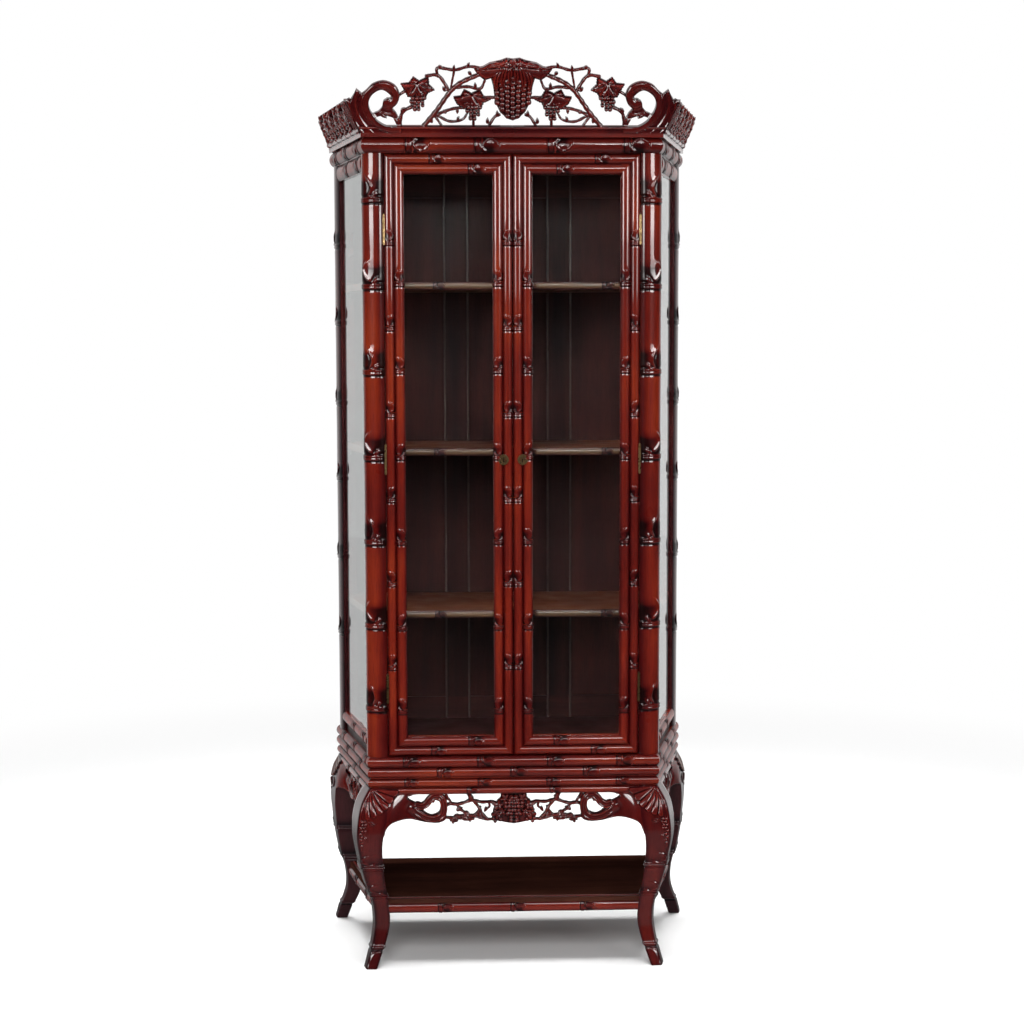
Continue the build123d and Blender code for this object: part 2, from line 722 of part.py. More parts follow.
lock_case = lock_block(x0, x0 + lock_width, lock_front, lock_depth, lock_height, 0)
lock_bolt = lock_block(
    x0 + BOLT_PLAY,
    x0 + BOLT_PLAY + bolt_length,
    bolt_front,
    bolt_depth,
    bolt_height,
    0,
)
bolt_room = lock_block(
    x0 - BOLT_THROW,
    x0 + 2 * BOLT_PLAY + bolt_length,
    bolt_front,
    bolt_depth,
    bolt_height,
    BOLT_PLAY,
)
lock_room = lock_block(
    x0, x0 + lock_width + POCKET_PLAY, lock_front, lock_depth, lock_height, POCKET_PLAY
)
save_pair(key_plate, "key_plate")
save(lock_case - bolt_room - key_channel, "lock_case")
save(lock_bolt, "lock_bolt")
lock_stile = lock_stile - key_seat - key_channel
save(lock_stile - lock_room, "door_lock_stile_right")
save(mirrored(lock_stile) - bolt_room, "door_lock_stile_left")
save_pair(hinge_stile, "door_hinge_stile")
save_pair(door_rail_top, "door_rail_top")
save_pair(door_rail_bottom, "door_rail_bottom")
save_pair(door_glass, "door_glass")

# ---------- legs ----------


def leg_outline(corner_place, outward, swells):
    """Closed outline of a leg in one view. corner_place is where the case's corner stands."""
    outer = [
        (corner_place + outward * swell, height)
        for swell, (height, _, _) in zip(swells, LEG_STATIONS)
    ]
    inner_edge = [
        (x - outward * width, height)
        for (x, height), (_, _, width) in zip(outer, LEG_STATIONS)
    ]
    return make_face(
        Spline(*outer)
        + Line(outer[-1], inner_edge[-1])
        + Spline(*reversed(inner_edge))
        + Line(inner_edge[0], outer[0])
    )


def leg(corner_x, corner_y, outward_y, side_swells, depth_swells):
    """A leg is what two outlines share: one seen from the front, one seen along the front."""
    front_view = leg_outline(corner_x, 1, [swell / OUT.X for swell in side_swells])
    front_plane = Plane(origin=(0, corner_y, 0), x_dir=(1, 0, 0), z_dir=(0, -1, 0))
    blank = extrude(front_plane * front_view, REACH, dir=ALONG)
    blank += extrude(front_plane * front_view, REACH, dir=-ALONG)
    side_view = leg_outline(corner_y, outward_y, depth_swells)
    side_plane = Plane(origin=(0, 0, 0), x_dir=(0, 1, 0), z_dir=(1, 0, 0))
    return blank & push(side_plane, side_view, BACK_WIDTH)


front_swells = [swell for _, swell, _ in LEG_STATIONS]
rear_side_swells = [min(swell, swell * REAR_SWELL) for swell in front_swells]
rear_swells = [
    swell + REAR_KICK * (1 - height / STAND_HEIGHT) ** 3
    for swell, (height, _, _) in zip(rear_side_swells, LEG_STATIONS)
]
front_leg = leg(FRONT_WIDTH / 2, FRONT_Y, -1, front_swells, front_swells)
rear_leg = leg(BACK_WIDTH / 2, BACK_Y, 1, rear_side_swells, rear_swells)
save_pair(front_leg, "leg_front")
save_pair(rear_leg, "leg_rear")
all_legs = [front_leg, rear_leg, mirrored(front_leg), mirrored(rear_leg)]


def around_legs(piece):
    for one in all_legs:
        piece -= one
    return piece


# ---------- aprons ----------
front_leg_edge = FRONT_WIDTH / 2 - LEG_TOP_WIDTH
# Lower edge of an apron, from a leg towards the middle: distance from the leg, drop from the top.
BRACKET = (
    (-16.0, 106.0),
    (-6.0, 93.0),
    (5.0, 80.0),
    (18.0, 73.0),
    (35.0, 69.0),
    (55.0, 70.0),
    (75.0, 76.0),
    (90.0, 81.0),
    (103.0, 82.0),
    (116.0, 77.0),
)


def apron_outline(half_length):
    """Right half of an apron about its middle; local y is height."""
    edge = [(half_length - run, STAND_HEIGHT - drop) for run, drop in BRACKET]
    middle = (0, STAND_HEIGHT - APRON_DROP)
    top = Polyline(
        middle,
        (0, STAND_HEIGHT),
        (half_length - BRACKET[0][0], STAND_HEIGHT),
        edge[0],
    )
    return make_face(top + Spline(*edge) + Line(edge[-1], middle))


# Openings of an apron between its carved vines: distance from the leg, drop from the top.
FRONT_APRON_HOLES = (
    ((44, 19), (68, 17), (92, 17), (85, 31), (67, 38), (50, 32)),
    ((80, 53), (93, 39), (105, 34), (117, 48), (110, 59), (94, 62)),
    ((122, 18), (148, 17), (175, 17), (172, 31), (156, 36), (140, 33)),
    ((128, 50), (139, 40), (156, 46), (158, 56), (144, 62), (131, 60)),
    ((166, 39), (182, 36), (198, 42), (200, 53), (184, 58), (170, 53)),
    ((196, 19), (224, 17), (250, 17), (238, 30), (220, 34), (204, 31)),
    ((210, 44), (224, 39), (238, 46), (242, 60), (230, 67), (216, 62)),
)
SIDE_APRON_HOLES = (
    ((51, 19), (73, 17), (97, 19), (91, 31), (73, 36), (55, 31)),
    ((77, 47), (89, 40), (105, 44), (107, 57), (95, 63), (81, 58)),
    ((109, 21), (119, 18), (131, 20), (129, 30), (119, 34), (110, 30)),
)


def apron_sketch(half_length, holes):
    half = apron_outline(half_length)
    for hole in holes:
        half -= patch([(half_length - run, STAND_HEIGHT - drop) for run, drop in hole])
    return half + mirror(half, Plane.YZ)


def apron_reed(length, plane):
    section = reed(APRON_FACE, APRON_CROWN, STAND_HEIGHT - APRON_REED, STAND_HEIGHT)
    return push(plane, section, length)


front_apron_plane = Plane(
    origin=(0, FRONT_Y - APRON_FACE, 0), x_dir=(1, 0, 0), z_dir=(0, -1, 0)
)
front_apron = push(
    front_apron_plane,
    apron_sketch(front_leg_edge, FRONT_APRON_HOLES),
    -APRON_THICKNESS,
)
front_apron += apron_reed(
    2 * front_leg_edge,
    Plane(origin=(front_leg_edge, FRONT_Y, 0), x_dir=(0, -1, 0), z_dir=(-1, 0, 0)),
)
save(around_legs(front_apron), "apron_front")

side_middle = SIDE_RUN / 2
side_apron_half = SIDE_RUN / 2 - LEG_TOP_WIDTH
side_apron_plane = Plane(
    origin=(*side_point(side_middle, APRON_FACE), 0), x_dir=ALONG, z_dir=OUT
)
side_apron = push(
    side_apron_plane,
    apron_sketch(side_apron_half, SIDE_APRON_HOLES),
    -APRON_THICKNESS,
)
side_apron += apron_reed(
    2 * side_apron_half,
    Plane(
        origin=(*side_point(side_middle + side_apron_half, 0), 0),
        x_dir=OUT,
        z_dir=-ALONG,
    ),
)
save_pair(around_legs(side_apron), "apron_side")
rear_apron = between_sides(
    BACK_Y - BACK_INSET - APRON_THICKNESS,
    BACK_Y - BACK_INSET,
    -LEG_TOP_WIDTH / 2,
    STAND_HEIGHT - REAR_APRON_DROP,
    STAND_HEIGHT,
)
save(around_legs(rear_apron), "apron_rear")

# ---------- undershelf ----------
rail_top = UNDERSHELF_BOTTOM + UNDERSHELF_RAIL
rail_inner = UNDERSHELF_FACE - UNDERSHELF_RAIL_WIDTH
rail_section = slab(rail_inner, UNDERSHELF_FACE, UNDERSHELF_BOTTOM, rail_top)
rail_section += reed(UNDERSHELF_FACE, UNDERSHELF_CROWN, UNDERSHELF_BOTTOM, rail_top)
rail_back = BACK_Y - UNDERSHELF_BACK + UNDERSHELF_RAIL_WIDTH
save(around_legs(front_run(rail_section)), "undershelf_rail_front")
side_rail_room = prism(
    [
        (0, FRONT_Y),
        (BACK_WIDTH, FRONT_Y),
        (BACK_WIDTH, rail_back - UNDERSHELF_RAIL_WIDTH),
        (0, rail_back - UNDERSHELF_RAIL_WIDTH),
    ],
    0,
    STAND_HEIGHT,
)
save_pair(
    around_legs(side_run(rail_section) & side_rail_room), "undershelf_rail_side"
)
save(
    around_legs(
        between_sides(
            rail_back - UNDERSHELF_RAIL_WIDTH,
            rail_back,
            rail_inner,
            UNDERSHELF_BOTTOM,
            rail_top,
        )
    ),
    "undershelf_rail_rear",
)
undershelf = between_sides(
    FRONT_Y - UNDERSHELF_FACE,
    rail_back,
    UNDERSHELF_FACE,
    rail_top,
    rail_top + UNDERSHELF_PANEL,
)
save(around_legs(undershelf), "undershelf_panel")

# ---------- gallery ----------
front_lean = math.radians(GALLERY_FRONT_LEAN)
side_lean = math.radians(GALLERY_SIDE_LEAN)
board_top_rise = GALLERY_THICKNESS * math.sin(front_lean)
gallery_height = (GALLERY_RISE - board_top_rise) / math.cos(front_lean)  # up the board's face
FRONT_GALLERY = Plane(
    origin=(0, FRONT_Y - GALLERY_FOOT, CORNICE_TOP),
    x_dir=(1, 0, 0),
    z_dir=(0, -math.cos(front_lean), -math.sin(front_lean)),
)
SIDE_GALLERY = Plane(
    origin=(*side_point(0, GALLERY_FOOT), CORNICE_TOP),
    x_dir=ALONG,
    z_dir=OUT * math.cos(side_lean) - Vector(0, 0, math.sin(side_lean)),
)


def leaning_region(lean, outer):
    """Section of all that lies inside a leaning face, from the cornice up."""
    rise = GALLERY_RISE + REACH
    return make_face(
        Polyline(
            (-BACK_WIDTH, CORNICE_TOP),
            (outer, CORNICE_TOP),
            (outer + rise * math.tan(lean), CORNICE_TOP + rise),
            (-BACK_WIDTH, CORNICE_TOP + rise),
            close=True,
        )
    )


inside_sides = push(
    SIDE_SECTION, leaning_region(side_lean, GALLERY_FOOT), SIDE_RUN + 3 * REACH
)
front_board_back = GALLERY_FOOT - GALLERY_THICKNESS / math.cos(front_lean)
behind_front = push(
    FRONT_SECTION, leaning_region(front_lean, front_board_back), 2 * BACK_WIDTH
)

# Right half of the front gallery, drawn on the board: distance from the middle, height up the
# board. It is drawn for one width and height, and stretched to those of the case.
GALLERY_DRAWN_HALF = 322.0
GALLERY_DRAWN_HEIGHT = 160.8
SCROLL_END = (
    (312.0, 93.0),
    (298.0, 106.0),
    (275.0, 112.0),
    (252.0, 103.0),
    (242.0, 85.0),
    (246.0, 66.0),
    (258.0, 53.0),
)
SCROLL_HOLE = (
    (308, 62),
    (301, 82),
    (280, 94),
    (261, 82),
    (262, 76),
    (276, 70),
    (281, 54),
    (299, 41),
)
LOWER_HOLE = ((294, 32), (276, 17), (252, 13), (247, 28), (256, 33), (274, 38))
BUNCH_OUTLINE = (
    (0, 159),
    (14, 160.8),
    (27, 156),
    (52, 153),
    (80, 142),
    (62, 132),
    (66, 117),
    (46, 114),
    (42, 98),
    (35, 68),
    (23, 38),
    (9, 27),
    (0, 26),
)
STEMS = (
    (8.0, ((243, 5), (237, 42), (216, 56))),
    (10.0, ((198, 5), (165, 45), (122, 100), (62, 130))),
    (7.0, ((135, 88), (158, 122), (185, 122))),
    (6.0, ((160, 122), (160, 139), (124, 135), (96, 142), (72, 140))),
    (5.0, ((125, 134), (132, 98))),
    (6.0, ((124, 97), (96, 99), (70, 95), (60, 112))),
    (6.0, ((172, 34), (145, 46), (120, 53), (96, 54))),
    (5.0, ((160, 36), (135, 24), (108, 28), (96, 44))),
    (5.0, ((168, 38), (146, 5))),
    (6.0, ((84, 5), (84, 40))),
    (6.0, ((56, 5), (38, 34), (22, 40))),
    (6.0, ((60, 76), (30, 76))),
    (6.0, ((242, 82), (226, 92))),
)
LEAVES = (
    ((232, 92), (240, 106), (222, 108), (212, 121), (200, 112), (180, 122), (178, 104))
    + ((166, 92), (180, 86), (188, 74), (206, 80), (224, 76)),
    ((120, 62), (128, 78), (112, 80), (104, 94), (88, 86), (70, 94), (62, 80))
    + ((46, 72), (62, 64), (68, 52), (86, 56), (104, 50)),
)
GRAPES = (((203, 64), 20.0, 15.0), ((84, 44), 20.0, 13.0))

SCROLL_FOOT = ((250, 44), (242, 28), (238, 0), (400, 0), (400, 62))
SCROLL_TIPS = ((352, 72), (346, 67), (334, 95), (322, 85))


def stretched(points):
    """Points of the drawing, where they come on a case of this size."""
    across = FRONT_WIDTH / 2 / GALLERY_DRAWN_HALF
    rise = gallery_height / GALLERY_DRAWN_HEIGHT
    return [(x * across, y * rise) for x, y in points]


front_half = slab(0, FRONT_WIDTH, 0, GALLERY_BAND)
scroll_edges = stretched((SCROLL_END[-1], *SCROLL_FOOT, *SCROLL_TIPS, SCROLL_END[0]))
scroll_body = make_face(Polyline(*scroll_edges) + Spline(*stretched(SCROLL_END)))
scroll_body -= patch(stretched(SCROLL_HOLE))
scroll_body -= patch(stretched(LOWER_HOLE))
front_half += scroll_body
front_half += make_face(Polyline(*stretched(BUNCH_OUTLINE), close=True))
for width, points in STEMS:
    front_half += ribbon(stretched(points), width)
for leaf in LEAVES:
    front_half += make_face(Polyline(*stretched(leaf), close=True))
for place, across, down in GRAPES:
    front_half += Pos(*stretched([place])[0]) * Ellipse(across, down)
front_half &= slab(0, FRONT_WIDTH, 0, gallery_height)
front_gallery = push(FRONT_GALLERY, front_half, -GALLERY_THICKNESS)
above_cornice = Pos(0, 0, CORNICE_TOP) * Box(
    2 * BACK_WIDTH,
    2 * BACK_WIDTH,
    2 * GALLERY_RISE,
    align=(Align.CENTER, Align.CENTER, Align.MIN),
)
front_gallery &= inside_sides & above_cornice
save(front_gallery + mirrored(front_gallery), "gallery_front")

# Side gallery: distance along the side from the front corner, height up the board. The rear end
# slopes forward with two scroll bumps: reach back past the end of the side, height.
SIDE_GALLERY_TOP = 78.0
SIDE_GALLERY_END = ((0, 0), (2, 10), (-19, 38), (-31, 46), (-27, 58), (-35, 68), (-49, 70))
side_end = [(SIDE_RUN + reach, height) for reach, height in SIDE_GALLERY_END]
side_top_end = (side_end[-1][0] - 10.0, SIDE_GALLERY_TOP)
side_outline = make_face(
    Polyline(
        (-REACH, 0), *side_end, side_top_end, (-REACH, SIDE_GALLERY_TOP), close=True
    )
)
SIDE_HOLE = (17.0, 8.0)
SIDE_HOLE_TILT = 50.0
SIDE_HOLE_STEP = 38.0
SIDE_HOLE_ROWS = ((28.0, 62.0, 43.0), (56.0, 52.0, 71.0))  # height, clear at the front, at the end
for height, front_clear, end_clear in SIDE_HOLE_ROWS:
    steps = int((SIDE_RUN - front_clear - end_clear) / SIDE_HOLE_STEP + 0.1)
    for index in range(steps + 1):
        hole = Rot(0, 0, SIDE_HOLE_TILT) * Ellipse(*SIDE_HOLE)
        side_outline -= Pos(front_clear + SIDE_HOLE_STEP * index, height) * hole
side_gallery = push(SIDE_GALLERY, side_outline, -GALLERY_THICKNESS)
save_pair(side_gallery & behind_front & above_cornice, "gallery_side")
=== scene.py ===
"""Looks of the bamboo-carved glazed cabinet, built round its packed construction model."""

import math

import bpy
import numpy as np
from mathutils import Matrix, Vector


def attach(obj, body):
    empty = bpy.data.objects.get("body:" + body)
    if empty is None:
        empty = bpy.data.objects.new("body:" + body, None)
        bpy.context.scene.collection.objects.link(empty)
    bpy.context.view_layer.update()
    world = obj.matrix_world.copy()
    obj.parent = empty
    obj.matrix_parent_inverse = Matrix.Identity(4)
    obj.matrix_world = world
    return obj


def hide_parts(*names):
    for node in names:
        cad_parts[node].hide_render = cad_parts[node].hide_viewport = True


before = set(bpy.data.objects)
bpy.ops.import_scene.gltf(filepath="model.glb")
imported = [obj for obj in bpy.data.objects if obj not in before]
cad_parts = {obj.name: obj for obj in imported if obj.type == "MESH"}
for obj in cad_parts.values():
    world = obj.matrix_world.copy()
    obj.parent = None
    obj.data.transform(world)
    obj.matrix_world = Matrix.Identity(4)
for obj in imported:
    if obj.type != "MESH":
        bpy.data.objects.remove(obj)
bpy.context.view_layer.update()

# ---------- the case's own sizes, in millimetres, as in the construction model ----------
HALF_FRONT, HALF_BACK, DEPTH = 322.0, 410.0, 360.0
FRONT_Y, BACK_Y = -163.0, 197.0
PLINTH_TOP = 479.0
CORNICE_BOTTOM, CORNICE_TOP = 1805.0, 1846.0
SIDE_RUN = math.hypot(HALF_BACK - HALF_FRONT, DEPTH)
ALONG = np.array([(HALF_BACK - HALF_FRONT) / SIDE_RUN, DEPTH / SIDE_RUN, 0.0])
OUT = np.array([ALONG[1], -ALONG[0], 0.0])
MITRE = (1 + OUT[1]) / OUT[0]  # how far a mitred end runs on for each mm outward
X, Y, Z = np.eye(3)
PROUD = 0.4  # a cane's surface over the plain member beneath it
SHELL = 2.6  # how far a cane reaches down into that member
RNG = np.random.default_rng(11)
SHARP_CUTS = 38.0  # degrees: above it the edges of a carving stay sharp
LINE_STEP = 1.5  # between the points of a smooth line


def side_point(along, offset, z=0.0):
    """A point on the right side: along it from the front corner, and outward from its plane."""
    return np.array([HALF_FRONT, FRONT_Y, z]) + ALONG * along + OUT * offset


def clamp(x):
    return np.clip(x, 0, 1)


def smoothstep(x):
    x = clamp(x)
    return x * x * (3 - 2 * x)


def hump(x, width):
    """1 where x is 0, and less the farther x is from it."""
    return np.exp(-((x / width) ** 2))


def dome(x):
    """A half circle over -1 to 1."""
    return np.sqrt(clamp(1 - x**2))


def polar(x, y, reach, angle):
    """The point at a distance from (x, y), in a direction in radians."""
    return x + reach * math.cos(angle), y + reach * math.sin(angle)


def on_plane(origin, right, up, out, x, y, h):
    """The places at x, y and the height h over a plane."""
    return origin + np.outer(x, right) + np.outer(y, up) + np.outer(h, out)


# ---------- meshes: points in mm, each with how dark its glaze and painted shade are, and groups of faces ---


def add_mesh(name, mesh, material, body="cabinet", slot="rosewood", replaces=(), sharp=50.0):
    points, groups = mesh
    groups = [g for g in groups if len(g)]
    used, flat = np.unique(np.concatenate([g.ravel() for g in groups]), return_inverse=True)
    points = points[used]
    sizes = np.concatenate([np.full(len(g), g.shape[1]) for g in groups])
    starts = np.concatenate([[0], np.cumsum(sizes)[:-1]])
    data = bpy.data.meshes.new(name)
    data.vertices.add(len(points))
    data.vertices.foreach_set("co", (points[:, :3] * 0.001).ravel())
    data.loops.add(len(flat))
    data.loops.foreach_set("vertex_index", flat.astype(np.int32))
    data.polygons.add(len(sizes))
    data.polygons.foreach_set("loop_start", starts.astype(np.int32))
    data.update(calc_edges=True)
    # this mesh attribute holds dark glaze and painted shade
    glaze = data.attributes.new("glaze", "FLOAT", "POINT").data
    glaze.foreach_set("value", points[:, 3].astype(np.float32))
    data.validate()
    data.shade_smooth()
    data.set_sharp_from_angle(angle=math.radians(sharp))
    data.materials.append(material)
    thing = bpy.data.objects.new(name, data)
    bpy.context.scene.collection.objects.link(thing)
    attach(thing, body)
    if replaces:
        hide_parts(*replaces)


def mirrored(mesh):
    """The left-hand twin of a right-hand mesh."""
    points, groups = mesh
    return points * [-1, 1, 1, 1], [g[:, ::-1] for g in groups]


def joined(one, two):
    return np.concatenate([one[0], two[0]]), [*one[1], *[g + len(one[0]) for g in two[1]]]


def add_pair(name, mesh, material, replaces=None, **more):
    """A right-hand object and its twin. {} in replaces stands for the side."""
    for tag, shape in (("right", mesh), ("left", mirrored(mesh))):
        nodes = [replaces.format(tag)] if replaces else ()
        add_mesh(f"{name}_{tag}", shape, material, replaces=nodes, **more)


def ring_faces(n, m):
    """The numbers of n rings of m points each, and the quads between the rings."""
    index = np.arange(n * m).reshape(n, m)
    turned = np.roll(index, -1, axis=1)
    return index, np.stack([index[:-1], index[1:], turned[1:], turned[:-1]], -1).reshape(-1, 4)


# ---------- lines ----------


def curve_piece(a, b, c, d, step):
    """Points of a Catmull-Rom curve from b up to c, about step apart."""
    n = max(2, int(np.linalg.norm(c - b) / step))
    t = np.linspace(0, 1, n, endpoint=False)[:, None]
    return 0.5 * (
        2 * b + (c - a) * t + (2 * a - 5 * b + 4 * c - d) * t**2 + (3 * b - a - 3 * c + d) * t**3
    )


def smooth_line(points, step=LINE_STEP):
    """A smooth line through the given points."""
    p = np.asarray(points, float)
    p = np.concatenate([[2 * p[0] - p[1]], p, [2 * p[-1] - p[-2]]])
    pieces = [curve_piece(*four, step) for four in zip(p, p[1:], p[2:], p[3:])]
    return np.concatenate([*pieces, p[-2:-1]])


def round_loop(points):
    """A smooth closed outline through the given points."""
    p = np.asarray(points, float)
    fours = [np.roll(p, 1 - i, axis=0)[:4] for i in range(len(p))]
    return np.concatenate([curve_piece(*four, LINE_STEP) for four in fours])


def line_distance(px, py, line):
    """Distance of each point to a line, the share of the line passed there, and on which side."""
    best = np.full(px.shape, 1e9)
    share = np.zeros(px.shape)
    side = np.ones(px.shape)
    seg = np.diff(line, axis=0)
    length = np.hypot(seg[:, 0], seg[:, 1])
    passed = np.concatenate([[0], np.cumsum(length)])
    for i, (a, s, n) in enumerate(zip(line, seg, length)):
        dx, dy = px - a[0], py - a[1]
        t = clamp((dx * s[0] + dy * s[1]) / (n * n + 1e-12))
        dist = np.hypot(dx - t * s[0], dy - t * s[1])
        near = dist < best
        best = np.where(near, dist, best)
        share = np.where(near, (passed[i] + t * n) / passed[-1], share)
        side = np.where(near, np.sign(s[0] * dy - s[1] * dx + 1e-12), side)
    return best, share, side


def inside_distance(px, py, outline):
    """Distance to a closed outline, positive inside."""
    closed = np.concatenate([outline, outline[:1]])
    dist, _, _ = line_distance(px, py, closed)
    inside = np.zeros(px.shape, bool)
    for a, b in zip(closed, closed[1:]):
        if a[1] == b[1]:
            continue
        crosses = (a[1] > py) != (b[1] > py)
        inside ^= crosses & (px < (b[0] - a[0]) * (py - a[1]) / (b[1] - a[1]) + a[0])
    return np.where(inside, dist, -dist)

# ---------- materials ----------


def fresh_tree(owner):
    """The emptied node tree of a material or a world."""
    owner.use_nodes = True
    owner.node_tree.nodes.clear()
    return owner.node_tree


def add_node(tree, kind, settings=None, **inputs):
    """Adds a node. Its inputs go by number (i0) or by name (Base_Color)."""
    item = tree.nodes.new("ShaderNode" + kind)
    for key, value in (settings or {}).items():
        setattr(item, key, value)
    for key, value in inputs.items():
        socket = item.inputs[int(key[1:]) if key[1:].isdigit() else key.replace("_", " ")]
        if isinstance(value, bpy.types.NodeSocket):
            tree.links.new(value, socket)
        else:
            socket.default_value = value
    return item


def noise(tree, place, scale, detail, **more):
    return add_node(tree, "TexNoise", Vector=place, Scale=scale, Detail=detail, **more).outputs[0]


def maths(tree, operation, *values):
    inputs = {f"i{k}": value for k, value in enumerate(values)}
    return add_node(tree, "Math", {"operation": operation}, **inputs).outputs[0]


def remap(tree, value, low, high, to_low=0.0, to_high=1.0, smooth=False):
    settings = {"interpolation_type": "SMOOTHSTEP"} if smooth else None
    inputs = dict(i0=value, i1=low, i2=high, i3=to_low, i4=to_high)
    return add_node(tree, "MapRange", settings, **inputs).outputs[0]


def tinted(tree, share, base, tint):
    settings = {"data_type": "RGBA", "blend_type": "MULTIPLY"}
    return add_node(tree, "Mix", settings, i0=share, i6=base, i7=tint).outputs[2]


def mix_shaders(tree, share, one, two):
    return add_node(tree, "MixShader", i0=share, i1=one, i2=two).outputs[0]


def ramp(tree, factor, stops):
    item = add_node(tree, "ValToRGB", i0=factor)
    while len(item.color_ramp.elements) < len(stops):
        item.color_ramp.elements.new(0.5)
    for element, (place, colour) in zip(item.color_ramp.elements, stops):
        element.position = place
        element.color = (*colour, 1)
    return item.outputs[0]


PORE_TINTS = ((0.36, (0.62, 0.58, 0.58)), (0.55, (1, 1, 1)))
# tints for the glaze attribute: dark glaze plus painted shade in hollows and towards cane edges
GLAZE_AND_SHADE_TINTS = (
    (0.0, (1, 1, 1)), (0.42, (0.40, 0.20, 0.42)), (0.8, (0.09, 0.07, 0.2)), (1.0, (0.05, 0.06, 0.15)),
)


def lacquered(name, shades, grain=(9.0, 9.0, 0.7), coat=1.0, rough=0.32, coat_rough=0.06, sheen=0.06):
    """Stained wood under lacquer: grain across the long axis, slow change of shade, dark pores."""
    material = bpy.data.materials.new(name)
    tree = fresh_tree(material)
    place = add_node(tree, "TexCoord").outputs["Object"]
    stretched = add_node(tree, "Mapping", i0=place, i3=grain).outputs[0]
    slow = maths(tree, "MULTIPLY_ADD", noise(tree, place, 4.5, 2.0), 0.55, -0.03)
    warp = noise(tree, stretched, 3.0, 3.0, Distortion=0.6)
    shade = maths(tree, "MULTIPLY_ADD", warp, 0.5, slow)
    colour = ramp(tree, shade, list(zip((0.34, 0.5, 0.68), shades)))
    pores = noise(tree, stretched, 42.0, 4.0, Roughness=0.65)
    colour = tinted(tree, 0.6, colour, ramp(tree, pores, PORE_TINTS))
    # glaze and painted shade from the mesh darken the colour and thin the coat
    glaze = add_node(tree, "Attribute", {"attribute_name": "glaze"}).outputs["Fac"]
    uneven = noise(tree, place, 16.0, 2.0)
    shader = add_node(
        tree, "BsdfPrincipled",
        Base_Color=tinted(tree, 1.0, colour, ramp(tree, glaze, GLAZE_AND_SHADE_TINTS)),
        Roughness=remap(tree, uneven, 0.3, 0.7, rough * 0.85, rough * 1.2),
        Coat_Weight=remap(tree, glaze, 0.35, 0.9, coat, 0.3 * coat),
        Coat_Roughness=coat_rough, Coat_IOR=1.5, IOR=1.48, Specular_IOR_Level=sheen,
        Normal=add_node(tree, "Bump", Strength=0.25, Distance=0.0004, Height=pores).outputs[0],
    )
    add_node(tree, "OutputMaterial", i0=shader.outputs[0])
    return material


def brass_material():
    material = bpy.data.materials.new("aged_brass")
    tree = fresh_tree(material)
    spots = noise(tree, add_node(tree, "TexCoord").outputs["Object"], 160.0, 4.0)
    shader = add_node(
        tree, "BsdfPrincipled", Metallic=1.0,
        Base_Color=ramp(tree, spots, ((0.3, (0.11, 0.07, 0.03)), (0.62, (0.27, 0.18, 0.085)))),
        Roughness=remap(tree, spots, 0.3, 0.7, 0.42, 0.24),
        Normal=add_node(tree, "Bump", Strength=0.3, Distance=0.0002, Height=spots).outputs[0],
    )
    add_node(tree, "OutputMaterial", i0=shader.outputs[0])
    return material


def glass_material():
    """Clear sheet glass that lets the lamps' light through to what is behind it."""
    material = bpy.data.materials.new("sheet_glass")
    tree = fresh_tree(material)
    haze = noise(tree, add_node(tree, "TexCoord").outputs["Object"], 7.0, 4.0)
    shader = add_node(
        tree, "BsdfPrincipled", Base_Color=(0.90, 0.965, 0.955, 1), Transmission_Weight=1.0, IOR=1.45,
        Roughness=remap(tree, haze, 0.55, 0.9, 0.0, 0.004),
    )
    clear = add_node(tree, "BsdfTransparent", i0=(0.9, 0.92, 0.91, 1))
    shadow = add_node(tree, "LightPath").outputs["Is Shadow Ray"]
    mixed = mix_shaders(tree, shadow, shader.outputs[0], clear.outputs[0])
    add_node(tree, "OutputMaterial", i0=mixed)
    return material


# The shades of each wood: dark, middle, light.
ROSE = (0.076, 0.0046, 0.0034), (0.142, 0.0104, 0.0048), (0.235, 0.0255, 0.0064)
# painted shade: the rose shades made darker for the horizontal members
ROSE_ACROSS_SHADED = (0.066, 0.0042, 0.0034), (0.125, 0.0094, 0.0046), (0.208, 0.0226, 0.0060)
CARVED = (0.060, 0.0040, 0.0040), (0.115, 0.0085, 0.0055), (0.18, 0.0170, 0.0075)
LEG = (0.042, 0.0034, 0.004), (0.080, 0.0066, 0.0056), (0.13, 0.013, 0.0078)
# painted light: the rear legs get a paler, greyer tone than the front legs' wood
REAR_LEG_PAINTED_LIGHT = (0.046, 0.016, 0.011), (0.074, 0.026, 0.017), (0.11, 0.042, 0.026)
# painted highlight: the beads are paler and greyer than the panels, for the bright line along the
# muntins' edges
BEAD_HIGHLIGHT = (0.035, 0.022, 0.019), (0.055, 0.036, 0.031), (0.085, 0.058, 0.050)
SHADED = (0.022, 0.004, 0.005), (0.038, 0.006, 0.007), (0.06, 0.010, 0.009)
SHADED_ACROSS = (0.030, 0.005, 0.005), (0.050, 0.008, 0.008), (0.075, 0.013, 0.011)
INNER = (0.016, 0.0050, 0.0050), (0.028, 0.0082, 0.0075), (0.045, 0.013, 0.011)
PANEL = (0.011, 0.0045, 0.0048), (0.020, 0.0066, 0.0064), (0.034, 0.010, 0.009)
SHELF = (0.045, 0.013, 0.008), (0.080, 0.024, 0.012), (0.125, 0.040, 0.018)
LIP = (0.046, 0.020, 0.011), (0.076, 0.036, 0.020), (0.115, 0.060, 0.034)
UNDERSHELF = (0.030, 0.0105, 0.0080), (0.047, 0.0160, 0.0110), (0.072, 0.025, 0.016)

